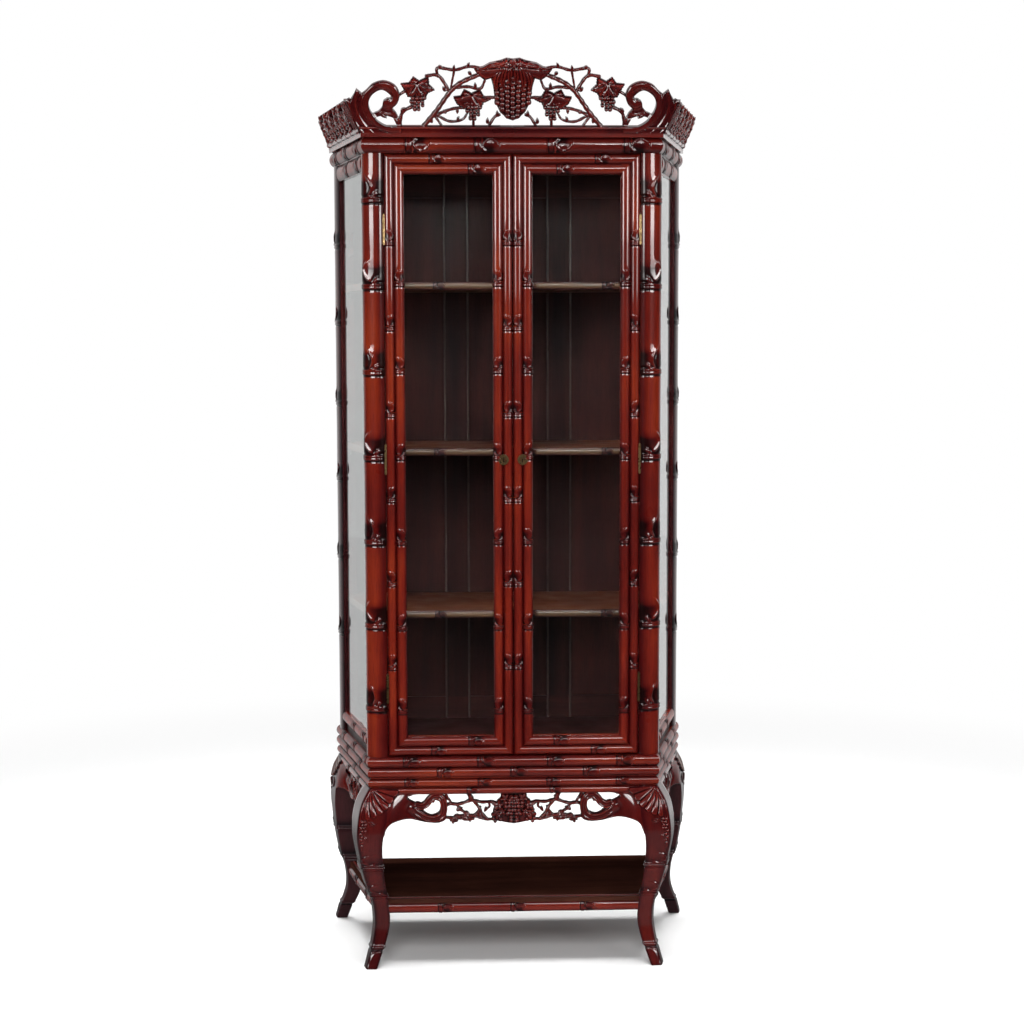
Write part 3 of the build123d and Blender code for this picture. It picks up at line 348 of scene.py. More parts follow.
ACROSS = dict(grain=(0.7, 9.0, 9.0))  # grain along X
DULL = dict(coat=0.15, rough=0.42, coat_rough=0.2)
WOOD = lacquered("lacquered_rosewood", ROSE)
ACROSS_WOOD = lacquered("lacquered_rosewood_across", ROSE_ACROSS_SHADED, **ACROSS)
CARVED_ACROSS = lacquered("carved_rosewood_across", CARVED, **ACROSS)
DEEP_WOOD = lacquered("carved_rosewood", CARVED, grain=(5.0, 5.0, 2.5), rough=0.3)
LEG_WOOD = lacquered("leg_rosewood", LEG, rough=0.3, coat_rough=0.09)
SIDE_WOOD = lacquered("side_rosewood", ROSE, coat=0.46, coat_rough=0.14, sheen=0.03, **ACROSS)
BEAD_HIGHLIGHT_WOOD = lacquered("bead_wood", BEAD_HIGHLIGHT, coat=0.4)
SHADE_WOOD = lacquered("shaded_rosewood", SHADED)
SHADE_ACROSS = lacquered("shaded_rosewood_across", SHADED_ACROSS, coat=0.6, **ACROSS)
INNER_WOOD = lacquered("stained_inner_wood", INNER, **DULL)
INNER_ACROSS = lacquered("stained_inner_across", INNER, **ACROSS, **DULL)
PANEL_WOOD = lacquered("panel_wood", PANEL, grain=(14.0, 14.0, 0.5), **DULL)
REAR_LEG_WOOD = lacquered("rear_leg_rosewood", REAR_LEG_PAINTED_LIGHT, coat=0.6, coat_rough=0.12)
SHELF_WOOD = lacquered("shelf_wood", SHELF, coat=0.4, rough=0.4, **ACROSS)
LIP_WOOD = lacquered("golden_lip", LIP, coat=0.5, rough=0.35, **ACROSS)
UNDERSHELF_WOOD = lacquered("undershelf_wood", UNDERSHELF, coat=0.0, rough=0.7, sheen=0.0, **ACROSS)
BRASS = brass_material()
GLASS = glass_material()

# What each node of the construction model is made of: the first line with the start of its name.
NODE_LOOKS = (
    (GLASS, ("door_glass", "side_glass")),
    (BRASS, ("hinge_", "key_", "lock_")),
    (INNER_ACROSS, ("back_rails", "floor_board", "roof_board", "shelf_cleats")),
    (SHELF_WOOD, ("shelf_",)),
    (INNER_WOOD, ("back_panels",)),
    (SHADE_ACROSS, ("plinth_rear", "apron_rear")),
    (SHADE_WOOD, ("rear_post",)),
    (REAR_LEG_WOOD, ("leg_rear",)),
    (PANEL_WOOD, ("back_muntins",)),
    (UNDERSHELF_WOOD, ("undershelf",)),
    (LEG_WOOD, ("leg_",)),
    (CARVED_ACROSS, ("cornice_",)),
    (ACROSS_WOOD, ("plinth_", "door_rail", "side_rail")),
    (WOOD, ("",)),
)
for name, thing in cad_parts.items():
    thing.data.materials.clear()
    thing.data.materials.append(next(look for look, starts in NODE_LOOKS if name.startswith(starts)))

# ---------- canes: mouldings carved as bamboo ----------
CANE_STEP = 1.2  # between the rows of points round a node
BUD_LEAD = 12.0  # how far before a bud's middle its ring lies
# What is carved above a node ring, in half-widths of the cane: (across, along).
HOOK = (
    (((0.42, 3.0), (-0.30, 2.75), (-0.74, 2.05), (-0.55, 1.25), (0.05, 0.82)), 0.30),
    (((0.12, 0.72), (0.55, 0.85), (0.88, 1.40)), 0.24),
)
FLAME = (
    (((-0.3, 2.95), (0.2, 2.2), (0.38, 1.5), (0.22, 0.85), (-0.1, 0.5)), 0.20),
    (((0.15, 0.45), (0.55, 0.5), (0.92, 1.05)), 0.16),
)
CURL = (
    (((-0.1, 3.1), (-0.62, 2.5), (-0.72, 1.9), (-0.42, 1.3), (0.05, 0.85), (0.32, 0.7)), 0.20),
    (((0.35, 0.5), (0.7, 0.65), (0.98, 1.15)), 0.16),
)



def carve_bud(shape, across, along):
    """Height of a bud's ridges over the cane, for coordinates in half-widths."""
    rise = np.zeros(across.shape)
    for index, (points, tall) in enumerate(shape):
        dist, share, side = line_distance(across, along, smooth_line(points, 0.12))
        taper = clamp(np.sin(np.pi * np.clip(share, 0.02, 0.98))) ** 0.55
        crest = tall * taper
        outer = hump(dist, 0.13) * crest - 0.06 * hump(dist - 0.3, 0.16) * taper
        slope = np.exp(-((dist / (0.3 if index else 0.55)) ** 1.5))
        inner = (0.5 * hump(dist, 0.14) + 0.5 * slope) * crest
        rise += np.where(side * (-1 if index else 1) < 0, outer, inner)
    return rise


def node_relief(u, v, half, nodes):
    """Height over a cane's plain surface at u along it and v across it."""
    rise = np.zeros(u.shape)
    for place, shape, hand in nodes:
        du = u - place
        near = (du > -3.0 * half) & (du < 4.2 * half)
        a, r = du[near], min(1.5, half / 10)
        ring = hump(a, 1.3 * r) + hump(a - 4 * r, 1.3 * r)
        ring -= 0.8 * hump(a + 3.4 * r, 1.7 * r)
        ring -= 0.9 * hump(a - 7.6 * r, 2.0 * r)
        ring += 0.7 * np.exp(-np.abs(a - 2 * r) / (1.1 * half))
        bud = carve_bud(shape, hand * v[near] / half, a / half) * half
        rise[near] += ring * min(1.3, r) + bud * smoothstep((a - 3 * r) / (3 * r))
    return rise


def node_glaze(u, relief, half, nodes):
    """Dark glaze and painted shade in the carving round each node, thin on its crests."""
    dark = np.zeros(u.shape)
    deep = 0.55 * clamp(1 - relief / (0.07 * half))
    for place, _, _ in nodes:
        du = u - place
        zone = smoothstep((du + 0.55 * half) / (0.3 * half))
        zone = zone * smoothstep((3.3 * half - du) / (1.3 * half))
        dark = np.maximum(dark, zone * (0.30 + deep * smoothstep((2.6 * half - du) / (0.6 * half))))
    return dark


def cane_rows(length, half, nodes):
    """Places along a cane: close together at its nodes, far apart between them."""
    rows = [np.linspace(0, length, max(3, int(length / 25)))]
    for place, _, _ in nodes:
        low, high = max(place - 1.1 * half, 0.5), min(place + 3.4 * half, length - 0.5)
        rows.append(np.arange(low, high, CANE_STEP))
    rows = np.unique(np.concatenate(rows))
    rows = rows[np.concatenate([[True], np.diff(rows) > CANE_STEP * 0.45])]
    rows[-1] = length
    return rows


def arc_section(half, rise, step):
    """Half-round section: (across, out) points and their outward normals."""
    radius = (half * half + rise * rise) / (2 * rise)
    top = math.asin(min(1.0, half / radius))
    angle = np.linspace(-top, top, max(8, int(2 * radius * top / step)) + 1)
    normal = np.stack([np.sin(angle), np.cos(angle)], 1)
    return normal * radius + [0, rise - radius], normal


def spline_section(points, step):
    line = smooth_line(points, step)
    tangent = np.gradient(line, axis=0)
    normal = np.stack([-tangent[:, 1], tangent[:, 0]], 1)
    return line, normal / np.linalg.norm(normal, axis=1)[:, None]


def rings(places, start, shapes=(HOOK,), hands=(1,)):
    """A cane's nodes: each one's place from the start, and shapes and hands in turn."""
    return [(x - start, shapes[i % len(shapes)], hands[i % len(hands)]) for i, x in enumerate(places)]


def cane_mesh(
    origin, along, out, length, section, nodes, half, ends=((0, 0), (0, 0)), carve=1.0, limit=None
):
    """A cane's shell. ends are how far each end runs on for each mm across and outward.

    limit is how high the carving may stand at places across the cane."""
    line, normal = section
    across = np.cross(along, out)
    arc = np.concatenate([[0], np.cumsum(np.hypot(*np.diff(line, axis=0).T))])
    v = arc - arc[-1] / 2
    rows = cane_rows(length, half, nodes)
    u2, v2 = np.meshgrid(rows, v, indexing="ij")
    relief = node_relief(u2, v2, half, nodes) * carve
    if limit:
        relief = np.minimum(relief, np.interp(line[:, 0], *limit))
    edge = np.abs(v2) / (arc[-1] / 2)
    # painted shade: darker towards a cane's edges, where its round turns from the light, plus the glaze
    # and painted shade round its nodes
    dark = 0.5 * smoothstep((edge - 0.25) / 0.7) + node_glaze(u2, relief, half, nodes)
    outer = line[None] + normal[None] * (relief + PROUD)[..., None]
    inner = np.broadcast_to(line[None] - normal[None] * SHELL, outer.shape)
    rim = np.concatenate([outer, inner[:, ::-1]], 1)
    reach = min(50.0, length / 2)
    u = np.broadcast_to(rows[:, None], rim.shape[:2]).copy()
    for end, (slope_a, slope_b) in enumerate(ends):
        shift = slope_a * rim[..., 0] + slope_b * rim[..., 1]
        away = length - u if end else u
        u = u + shift * clamp(1 - away / reach)
    spots = origin + u[..., None] * along + rim[..., :1] * across + rim[..., 1:] * out
    glaze = clamp(np.concatenate([dark, dark[:, ::-1]], 1)[..., None])
    n, m, k = *u.shape, len(line)
    index, quads = ring_faces(n, m)
    caps = []
    for row, flip in ((0, 1), (n - 1, -1)):
        there, back = index[row, :k], index[row, ::-1][:k]
        caps.append(np.stack([there[:-1], back[:-1], back[1:], there[1:]], 1)[:, ::flip])
    return np.concatenate([spots, glaze], 2).reshape(-1, 4), [np.roll(quads, -1, axis=1), *caps]


def cane(name, *shape, material=WOOD, body="cabinet", slot="rosewood", pair=False, **more):
    """One cane, or with pair a right-hand one and its twin."""
    add = add_pair if pair else add_mesh
    add(name, cane_mesh(*shape, **more), material, body=body, slot=slot)


# ---------- door canes ----------
DOOR_EDGES = (1.0, 278.0)  # in x, on the right door
DOOR_ENDS = (482.0, 1803.0)
DOOR_FACE = FRONT_Y + 9.0
DOOR_RISE = 7.0
DOOR_CANES = {  # from the rim, half width, nodes on the stiles
    "outer": (10.0, 10.0, (1609, 1425, 1237, 1050, 864, 678)),
    "inner": (31.5, 10.5, (1521, 1332, 1143, 956, 766, 578)),
}
RAIL_NODES = {  # on the right door and on the left one
    "top_outer": (195.0, -165.0),
    "top_inner": (112.0, -80.0),
    "bottom_outer": (188.0, -168.0),
    "bottom_inner": (105.0, -85.0),
}
# Low carving beside the hinge line, so that an open door clears the column.
HINGE_LIMIT = ((-4.0, 0.0, 3.0, 5.0), (6.0, 3.2, 1.5, 0.7))
POST_LIMIT = ((281.0, 286.0, 292.0, 297.0), (0.6, 0.8, 3.6, 9.0))


def mitred(slope):
    return (slope, 0), (-slope, 0)


def door_canes(side, tag):
    """The eight canes of one door. side is +1 on the right."""
    body = f"door_{tag}"
    for stile, slope in (("lock", 1.0), ("hinge", -1.0)):
        for which, (inset, half, places) in DOOR_CANES.items():
            middle = DOOR_EDGES[0] + inset if stile == "lock" else DOOR_EDGES[1] - inset
            low, high = DOOR_ENDS[0] + inset, DOOR_ENDS[1] - inset
            hand = -1 if (stile == "lock") == (which == "outer") else 1
            shape = cane_mesh(
                np.array([middle, DOOR_FACE, low]), Z, -Y, high - low,
                arc_section(half, DOOR_RISE, 1.25), rings(places, low, hands=(hand, -hand)), half,
                ends=mitred(slope),
                limit=HINGE_LIMIT if (stile, which) == ("hinge", "outer") else None,
            )
            add_mesh(f"cane_{stile}_{which}_{tag}", shape if side > 0 else mirrored(shape), WOOD, body)
    for rail, hand in (("top", 1), ("bottom", -1)):
        for which, (inset, half, _) in DOOR_CANES.items():
            z = DOOR_ENDS[1] - inset if rail == "top" else DOOR_ENDS[0] + inset
            low, high = sorted(side * (x + inset * way) for x, way in zip(DOOR_EDGES, (1, -1)))
            place = RAIL_NODES[f"{rail}_{which}"][0 if side > 0 else 1]
            cane(
                f"cane_{rail}_{which}_{tag}", np.array([low, DOOR_FACE, z]), X, -Y, high - low,
                arc_section(half, DOOR_RISE, 1.25), rings([place], low + BUD_LEAD, hands=(hand,)), half,
                ends=mitred(-hand * 1.0), material=ACROSS_WOOD, body=body,
            )


door_canes(1, "right")
door_canes(-1, "left")

# ---------- plinth and cornice canes ----------
RING_FACE = -4.0
RING_CANES = (  # bottom, top, rise, nodes on the front and on a side
    ("plinth_low", 412.0, 430.0, 6.5, (-228, -65, 88, 243), (155,)),
    ("plinth_middle", 433.0, 455.0, 7.5, (-155, 8, 170), (85, 235)),
    ("plinth_top", 456.0, 479.0, 7.5, (-230, -65, 90, 245), (25, 155, 280)),
    ("cornice", 1806.0, 1838.0, 9.0, (-215, -65, 93, 258), (45, 175, 290)),
)
RUN_BACK = ALONG[0] / ALONG[1]  # how far a side runs outward for each mm backward
SIDE_CARVING = 0.6  # the sides' carving is lower
for name, low, high, rise, front_places, side_places in RING_CANES:
    half, middle = (high - low) / 2, (low + high) / 2
    section = arc_section(half, rise, 1.3)
    start = -HALF_FRONT - MITRE * RING_FACE
    cane(
        f"cane_{name}_front", np.array([start, FRONT_Y - RING_FACE, middle]), X, -Y, -2 * start,
        section, rings(front_places, start + BUD_LEAD, hands=(-1, 1)), half,
        ends=((0, -MITRE), (0, MITRE)), material=ACROSS_WOOD,
    )
    start = -MITRE * RING_FACE
    cane(
        f"cane_{name}_side", side_point(start, RING_FACE, middle), ALONG, OUT,
        SIDE_RUN + RUN_BACK * RING_FACE - start, section,
        rings(side_places, start, hands=(-1, 1)), half,
        ends=((0, -MITRE), (0, RUN_BACK)), material=SIDE_WOOD, carve=SIDE_CARVING, pair=True,
    )

# ---------- posts ----------
POST_NODES = (1702, 1516, 1330, 1143, 957, 771, 585)
REAR_NODES = (1618, 1440, 1253, 1075, 890, 710)
POST_LENGTH = CORNICE_BOTTOM - PLINTH_TOP
POST_FACE = (
    (280.4, -8.4), (285.5, -4.6), (290.5, -2.7), (296.0, -2.0), (300.5, -2.5), (306.0, -4.2),
    (311.5, -6.9), (316.0, -9.9), (320.0, -13.2), (323.3, -17.2), (325.9, -22.2), (327.1, -28.9),
    (325.0, -35.4),
)  # a column's face in plan: across, and out from the case plane
REAR_POST_START = SIDE_RUN - 53.0 - 8.0
cane(
    "cane_front_post", np.array([0.0, FRONT_Y, PLINTH_TOP]), Z, -Y, POST_LENGTH,
    spline_section(POST_FACE, 1.4), rings(POST_NODES, PLINTH_TOP, (FLAME, CURL), (-1,)), 19.0,
    limit=POST_LIMIT, pair=True,
)
cane(
    "cane_rear_post", side_point(REAR_POST_START + 26.0, -6.0, PLINTH_TOP), Z, OUT, POST_LENGTH,
    arc_section(26.0, 6.5, 1.6), rings(REAR_NODES, PLINTH_TOP, (FLAME, CURL)), 13.0,
    material=SHADE_WOOD, pair=True,
)

# ---------- side rails, shelf lips, and beads along the muntins of the back ----------
RAIL_START = 35.0
for name, low, high, places in (
    ("bottom", 499.5, 522.5, (60, 170)),
    ("top", 1768.5, 1803.5, (70, 190)),
):
    half = (high - low) / 2
    cane(
        f"cane_side_rail_{name}", side_point(RAIL_START, -6.0, (low + high) / 2), ALONG, OUT,
        REAR_POST_START - RAIL_START, arc_section(half, 6.0, 1.4), rings(places, RAIL_START),
        min(half, 13.0), material=SIDE_WOOD, carve=SIDE_CARVING, pair=True,
    )

LIP_END = 277.0
for level, z in (("lower", 795.5), ("middle", 1157.0), ("upper", 1521.0)):
    cane(
        f"lip_{level}", np.array([-LIP_END, FRONT_Y + 32.0, z]), X, -Y, 2 * LIP_END,
        arc_section(8.0, 4.6, 1.2), rings((-170.0, 30.0, 200.0), -LIP_END), 8.0,
        material=LIP_WOOD, slot="shelf_wood",
    )

for tag, x in (
    ("outer_left", -148.0), ("inner_left", -94.0), ("inner_right", 94.0), ("outer_right", 148.0),
):
    cane(
        f"back_bead_{tag}", np.array([x, 171.0, 498.0]), Z, -Y, 1288.0,
        arc_section(2.6, 2.0, 1.0), [], 2.6, material=BEAD_HIGHLIGHT_WOOD, slot="inner_wood",
    )

# ---------- carving: reliefs sawn through and rounded ----------


def blurred(grid, reach):
    """Mean over a square window, of the places that hold a number."""
    known = np.isfinite(grid).astype(float)
    total, count = np.where(known > 0, grid, 0.0), known
    for axis in (0, 1):
        total = sum(np.roll(total, k, axis) for k in range(-reach, reach + 1))
        count = sum(np.roll(count, k, axis) for k in range(-reach, reach + 1))
    return total / np.maximum(count, 1)


class Carving:
    """A relief on a grid: how far each place lies inside the wood, and how high the wood is there."""

    def __init__(self, x0, x1, y0, y1, step, wall):
        self.step = step
        self.x = np.arange(x0, x1 + step / 2, step)
        self.y = np.arange(y0, y1 + step / 2, step)
        self.depth = np.full((len(self.y), len(self.x)), -9.0)
        self.height = np.full(self.depth.shape, wall)

    def window(self, points, reach):
        """The part of the grid round the points, and its places."""
        lo, hi = np.min(points, 0) - reach, np.max(points, 0) + reach
        cols = slice(*np.searchsorted(self.x, (lo[0], hi[0])))
        rows = slice(*np.searchsorted(self.y, (lo[1], hi[1])))
        return (rows, cols), *np.meshgrid(self.x[cols], self.y[rows])

    def along(self, points, reach):
        """The window round a smooth line, and each place's distance from it and share along it."""
        line = smooth_line(points)
        window, px, py = self.window(line, reach)
        return line, window, *line_distance(px, py, line)[:2]

    def put(self, window, inside, height):
        on = inside > -1.6 * self.step
        part = self.height[window]
        part[on] = np.maximum(part[on], height[on])
        self.depth[window] = np.maximum(self.depth[window], inside)

    def stem(self, points, radius, end, base=3.0, rise=0.85, knot=0.0):
        line, window, dist, share = self.along(points, max(radius, end) * 1.3 + 2)
        wide = radius + (end - radius) * share
        if knot:
            turns = np.hypot(*np.diff(line, axis=0).T).sum() / 17
            wide = wide * (1 + knot * np.sin(2 * np.pi * turns * share + points[0][0]) ** 3)
        self.put(window, wide - dist, base + rise * wide * dome(dist / wide))

    def vines(self, stems, **form):
        for radius, points in stems:
            self.stem(points, radius, radius * 0.85, **form)

    def band(self, points, radius, end, base, rise, rim):
        """A scrolled band: hollow along its middle with a bead on each edge."""
        _, window, dist, share = self.along(points, max(radius, end) + 2)
        wide = radius + (end - radius) * share
        bead = dome((wide - dist - rim) / rim) * rise
        middle = rise * 0.75 * clamp(1 - (dist / (wide - 1.6 * rim)) ** 2)
        self.put(window, wide - dist, base + np.where(dist > wide - 2 * rim, bead, middle))

    def grape(self, x, y, radius, base):
        window, px, py = self.window([[x, y]], radius + 1.5)
        dist = np.hypot(px - x, py - y)
        self.put(window, radius - dist, base + np.sqrt(np.clip(radius**2 - dist**2, 0, None)))

    def bunch(self, x, y, wide, tall, radius, base, swell=3.0, tip=0.35):
        """Grapes in rows that narrow towards the tip, below the point given."""
        rows = int(tall / (1.65 * radius))
        for row in range(rows + 1):
            down = row / max(rows, 1)
            half = wide * (1 - (1 - tip) * down**1.4)
            n = max(1, int(round(2 * half / (1.9 * radius))))
            shift = (0.45 if row % 2 else -0.45) * radius * (n > 1)
            for i in range(n):
                gx, gy = x + (i - (n - 1) / 2) * 1.9 * radius + shift, y - down * tall
                edge = 1 - ((gx - x) / (half + radius)) ** 2
                jog = RNG.uniform(-0.5, 0.5, 2)
                size = radius * RNG.uniform(0.9, 1.06)
                self.grape(gx + jog[0], gy + jog[1], size, base + swell * edge)

    def leaf(self, x, y, size, turn, base, rise):
        """A vine leaf with five pointed lobes, cupped between its veins, its tip turned that way."""
        window, px, py = self.window([[x, y]], size * 1.15)
        dx, dy = px - x, py - y
        c, s = math.cos(math.radians(turn)), math.sin(math.radians(turn))
        along, cross = dx * c + dy * s, -dx * s + dy * c
        angle = np.arctan2(cross, along)
        dist = np.hypot(along, cross) + 1e-6
        wave = 0.5 + 0.5 * np.cos(5 * angle)
        tooth = np.abs(((angle * 17 / np.pi) % 1) - 0.5) * 2
        reach = size * (0.58 + 0.36 * wave**0.8 + 0.08 * tooth) * (0.86 + 0.14 * np.cos(angle))
        inside = (reach - dist) * 0.75
        far = clamp(dist / reach)
        vein = hump(np.abs(np.sin(5 * angle / 2)) * dist, 1.3) * (0.35 + 0.65 * far)
        form = rise * (0.55 + 0.45 * wave * np.sin(np.pi * np.clip(far, 0, 0.95)) - 0.25 * far)
        self.put(window, inside, base + form - 1.7 * vein - 2.2 * (1 - smoothstep(inside / 2.5)))

    def blade(self, points, half, base=4.0, rise=4.0):
        """A long leaf along a line: widest before its middle, with a groove for the midrib."""
        _, window, dist, share = self.along(points, half + 2)
        wide = half * np.clip(np.sin(np.pi * share**0.75), 0.02, 1) + 0.4
        q = clamp(dist / wide)
        form = rise * (0.45 + 0.55 * np.sin(np.pi * q**0.8)) * (1 - 0.5 * q)
        self.put(window, wide - dist, base + form - 1.1 * hump(dist, 0.9))

    def sprig(self, x, y, turn, middle, tip, bend, half, base, rise):
        """A blade from a point, its tip bent away from the direction that it starts in."""
        turn = math.radians(turn)
        points = [(x, y), polar(x, y, middle, turn), polar(x, y, tip, turn + bend)]
        self.blade(points, half, base, rise)

    def plate(self, outline, height, edge, drop):
        """A flat or shaped plate with rounded edges. height is a number or a function of place."""
        outline = np.asarray(outline, float)
        window, px, py = self.window(outline, 2)
        inside = inside_distance(px, py, outline)
        top = height(px, py) if callable(height) else height
        q = clamp(1 - inside / edge)
        self.put(window, inside, top - drop * (1 - np.sqrt(1 - q * q)))

    def strip(self, x0, x1, y0, y1, height, edge, drop):
        self.plate([(x0, y0), (x1, y0), (x1, y1), (x0, y1)], height, edge, drop)

    def cut(self, outline):
        outline = np.asarray(outline, float)
        window, px, py = self.window(outline, 6)
        self.depth[window] = np.minimum(self.depth[window], -inside_distance(px, py, outline))

    def mesh(self, place):
        """Closed mesh of the wood: carved front, walls and back. place maps (x, y, height) to 3-D."""
        depth, height = self.depth, self.height
        depth = np.where(np.abs(depth) < 0.04 * self.step, 0.04 * self.step, depth)
        depth[0], depth[-1], depth[:, 0], depth[:, -1] = -1, -1, -1, -1
        rows, cols = depth.shape
        solid = depth > 0
        gx, gy = np.meshgrid(self.x, self.y)
        count = rows * cols
        grid = np.arange(count).reshape(rows, cols)

        def crossings(a, b, start):
            """New points where the edge of the wood crosses the grid lines from a to b."""
            mixed = solid[a] != solid[b]
            number = np.full(mixed.shape, -1)
            number[mixed] = start + np.arange(mixed.sum())
            t = (depth[a] / (depth[a] - depth[b] + 1e-12))[mixed]
            spot = [g[a][mixed] + t * (g[b][mixed] - g[a][mixed]) for g in (gx, gy)]
            tall = np.where(solid[a], height[a], height[b])[mixed]
            low = np.minimum(height[a], height[b])[mixed]
            return number, np.stack([*spot, np.minimum(tall, low + 1.0)], 1)

        all_, head, tail = slice(None), slice(None, -1), slice(1, None)
        across, p1 = crossings((all_, head), (all_, tail), count)
        upward, p2 = crossings((head, all_), (tail, all_), count + len(p1))
        points = np.concatenate([np.stack([gx.ravel(), gy.ravel(), height.ravel()], 1), p1, p2])
        # corners of each cell, anticlockwise from the lower left, and the crossing after each
        corner = [grid[:-1, :-1], grid[:-1, 1:], grid[1:, 1:], grid[1:, :-1]]
        between = [across[:-1], upward[:, 1:], across[1:], upward[:, :-1]]
        on = [solid[:-1, :-1], solid[:-1, 1:], solid[1:, 1:], solid[1:, :-1]]
        case = sum(o.astype(int) << i for i, o in enumerate(on))
        faces, walls = {3: [], 4: [], 5: [], 6: []}, []
        for code in range(1, 16):
            here = case == code
            if not here.any():
                continue
            ring, edges = [], []
            for i in range(4):
                if code >> i & 1:
                    ring.append(corner[i][here])
                if (code >> i & 1) != (code >> ((i + 1) % 4) & 1):
                    edges.append((len(ring), code >> i & 1))
                    ring.append(between[i][here])
            faces[len(ring)].append(np.stack(ring, 1))
            if edges:
                # the wood's edge leaves where a crossing follows wood and returns where wood follows
                leave = [ring[i] for i, wood in edges if wood]
                back_in = [ring[i] for i, wood in edges if not wood]
                if len(edges) == 4 and not edges[0][1]:
                    back_in = back_in[1:] + back_in[:1]
                walls += [np.stack([a, b], 1) for a, b in zip(leave, back_in)]
        walls = np.concatenate(walls)
        front = [np.concatenate(f) for f in faces.values() if f]
        n = len(points)
        under = points.copy()
        under[:, 2] = 0
        sides = np.stack([walls[:, 1], walls[:, 0], walls[:, 0] + n, walls[:, 1] + n], 1)
        groups = [*front, *[f[:, ::-1] + n for f in front], sides]
        # dark glaze and painted shade: darker in the hollows than on the crests, dark on the walls of
        # the cuts and on the back
        soft = blurred(np.where(solid, height, np.nan), 4)
        hollow = clamp(0.28 + 0.30 * (soft - height)).ravel()
        dark = np.concatenate([hollow, np.full(len(p1) + len(p2), 0.75), np.full(n, 0.6)])
        spots = place(*np.concatenate([points, under]).T)
        return np.concatenate([spots, dark[:, None]], 1), groups


# ---------- gallery ----------
FRONT_LEAN, SIDE_LEAN = math.radians(22.0), math.radians(29.0)
BOARD = 13.0  # how thick the boards are
FRONT_TOP, SIDE_TOP = 160.4, 78.0
BAND_TOP = 15  # of the plain strip along the front board
TOP_SLOPE = 0.38  # how fast the carving rises below a board's top edge
CENTRE = 26  # half the width that the front board leaves to the piece in its middle
SCROLL_END = ((312, 93), (298, 106), (275, 112), (252, 103), (242, 85), (246, 66), (258, 53))
SCROLL_FOOT = ((250, 44), (242, 28), (238, 0), (400, 0), (400, 62))
SCROLL_TIPS = ((352, 72), (346, 67), (334, 95), (322, 85))
SCROLL_MIDDLE = (
    (242, 7), (262, 8), (284, 17), (304, 36), (314, 60), (310, 84), (295, 98), (275, 103),
    (257, 96), (250, 82), (254, 69), (264, 62), (272, 66),
)
SCROLL_HOLE = ((308, 62), (301, 82), (280, 94), (261, 82), (262, 76), (276, 70), (281, 54), (299, 41))
LOWER_HOLE = ((294, 32), (276, 17), (252, 13), (247, 28), (256, 33), (274, 38))
STEMS = (
    (4.0, ((243, 5), (237, 42), (216, 56))),
    (5.0, ((198, 5), (165, 45), (122, 100), (62, 130))),
    (3.5, ((135, 88), (158, 122), (185, 122))),
    (3.0, ((160, 122), (160, 139), (124, 135), (96, 142), (72, 140))),
    (2.5, ((125, 134), (132, 98))),
    (3.0, ((124, 97), (96, 99), (70, 95), (60, 112))),
    (3.0, ((172, 34), (145, 46), (120, 53), (96, 54))),
    (2.5, ((160, 36), (135, 24), (108, 28), (96, 44))),
    (2.5, ((168, 38), (146, 5))),
    (3.0, ((84, 5), (84, 40))),
    (3.0, ((56, 5), (38, 34), (22, 40))),
    (3.0, ((60, 76), (30, 76))),
    (3.0, ((242, 82), (226, 92))),
)
BUDS = (  # x, height, size, direction
    (160, 140, 8, 160), (125, 136, 7, 80), (96, 142, 7, 100), (141, 92, 9, 20), (118, 26, 7, 100),
    (150, 47, 7, 200), (238, 44, 9, 110), (172, 22, 9, 60), (120, 52, 8, 250), (78, 98, 8, 60),
    (52, 20, 9, 70), (148, 8, 8, 150), (30, 36, 9, 60), (218, 60, 7, 130), (96, 130, 8, 200),
)
BUNCH_LEAVES = (
    (222, 88, 200), (186, 90, -20), (203, 92, -90), (104, 66, 205), (66, 66, -25), (85, 68, -90),
)
LEAF_ONE = (
    (232, 92), (240, 106), (222, 108), (212, 121), (200, 112), (180, 122), (178, 104),
    (166, 92), (180, 86), (188, 74), (206, 80), (224, 76),
)
LEAF_TWO = (
    (120, 62), (128, 78), (112, 80), (104, 94), (88, 86), (70, 94), (62, 80),
    (46, 72), (62, 64), (68, 52), (86, 56), (104, 50),
)
BUNCH_OUTLINE = (
    (0, 159), (14, 160.8), (27, 156), (50, 151), (64, 143), (84, 139), (74, 124), (60, 114), (47, 118),
    (42, 100), (38, 68), (27, 45), (12, 31), (0, 27),
)
TOP_LEAF = (
    (2, 150), (14, 159), (27, 154), (49, 150), (64, 142), (83, 138), (73, 124), (60, 115), (46, 119),
    (30, 126), (10, 132),
)
TOP_BLADES = (
    (((12, 146), (20, 128), (22, 108), (17, 92)), 7.5),
    (((24, 140), (34, 124), (37, 108), (33, 97)), 6.5),
    (((4, 143), (7, 128), (6, 112), (2, 104)), 6.5),
    (((30, 150), (48, 145), (64, 138), (78, 141)), 5.0),
)
TOP_FLOWERS = (
    (0, 150, 5.2), (-15, 146, 4.2), (15, 147, 4.2), (-30, 144, 3.6), (29, 145, 3.8), (6, 138, 3.4),
    (-7, 138, 3.4),
)


def board_end(y):
    """Where the front board ends in x at a height on it."""
    return 325.9 + 0.4375 * y


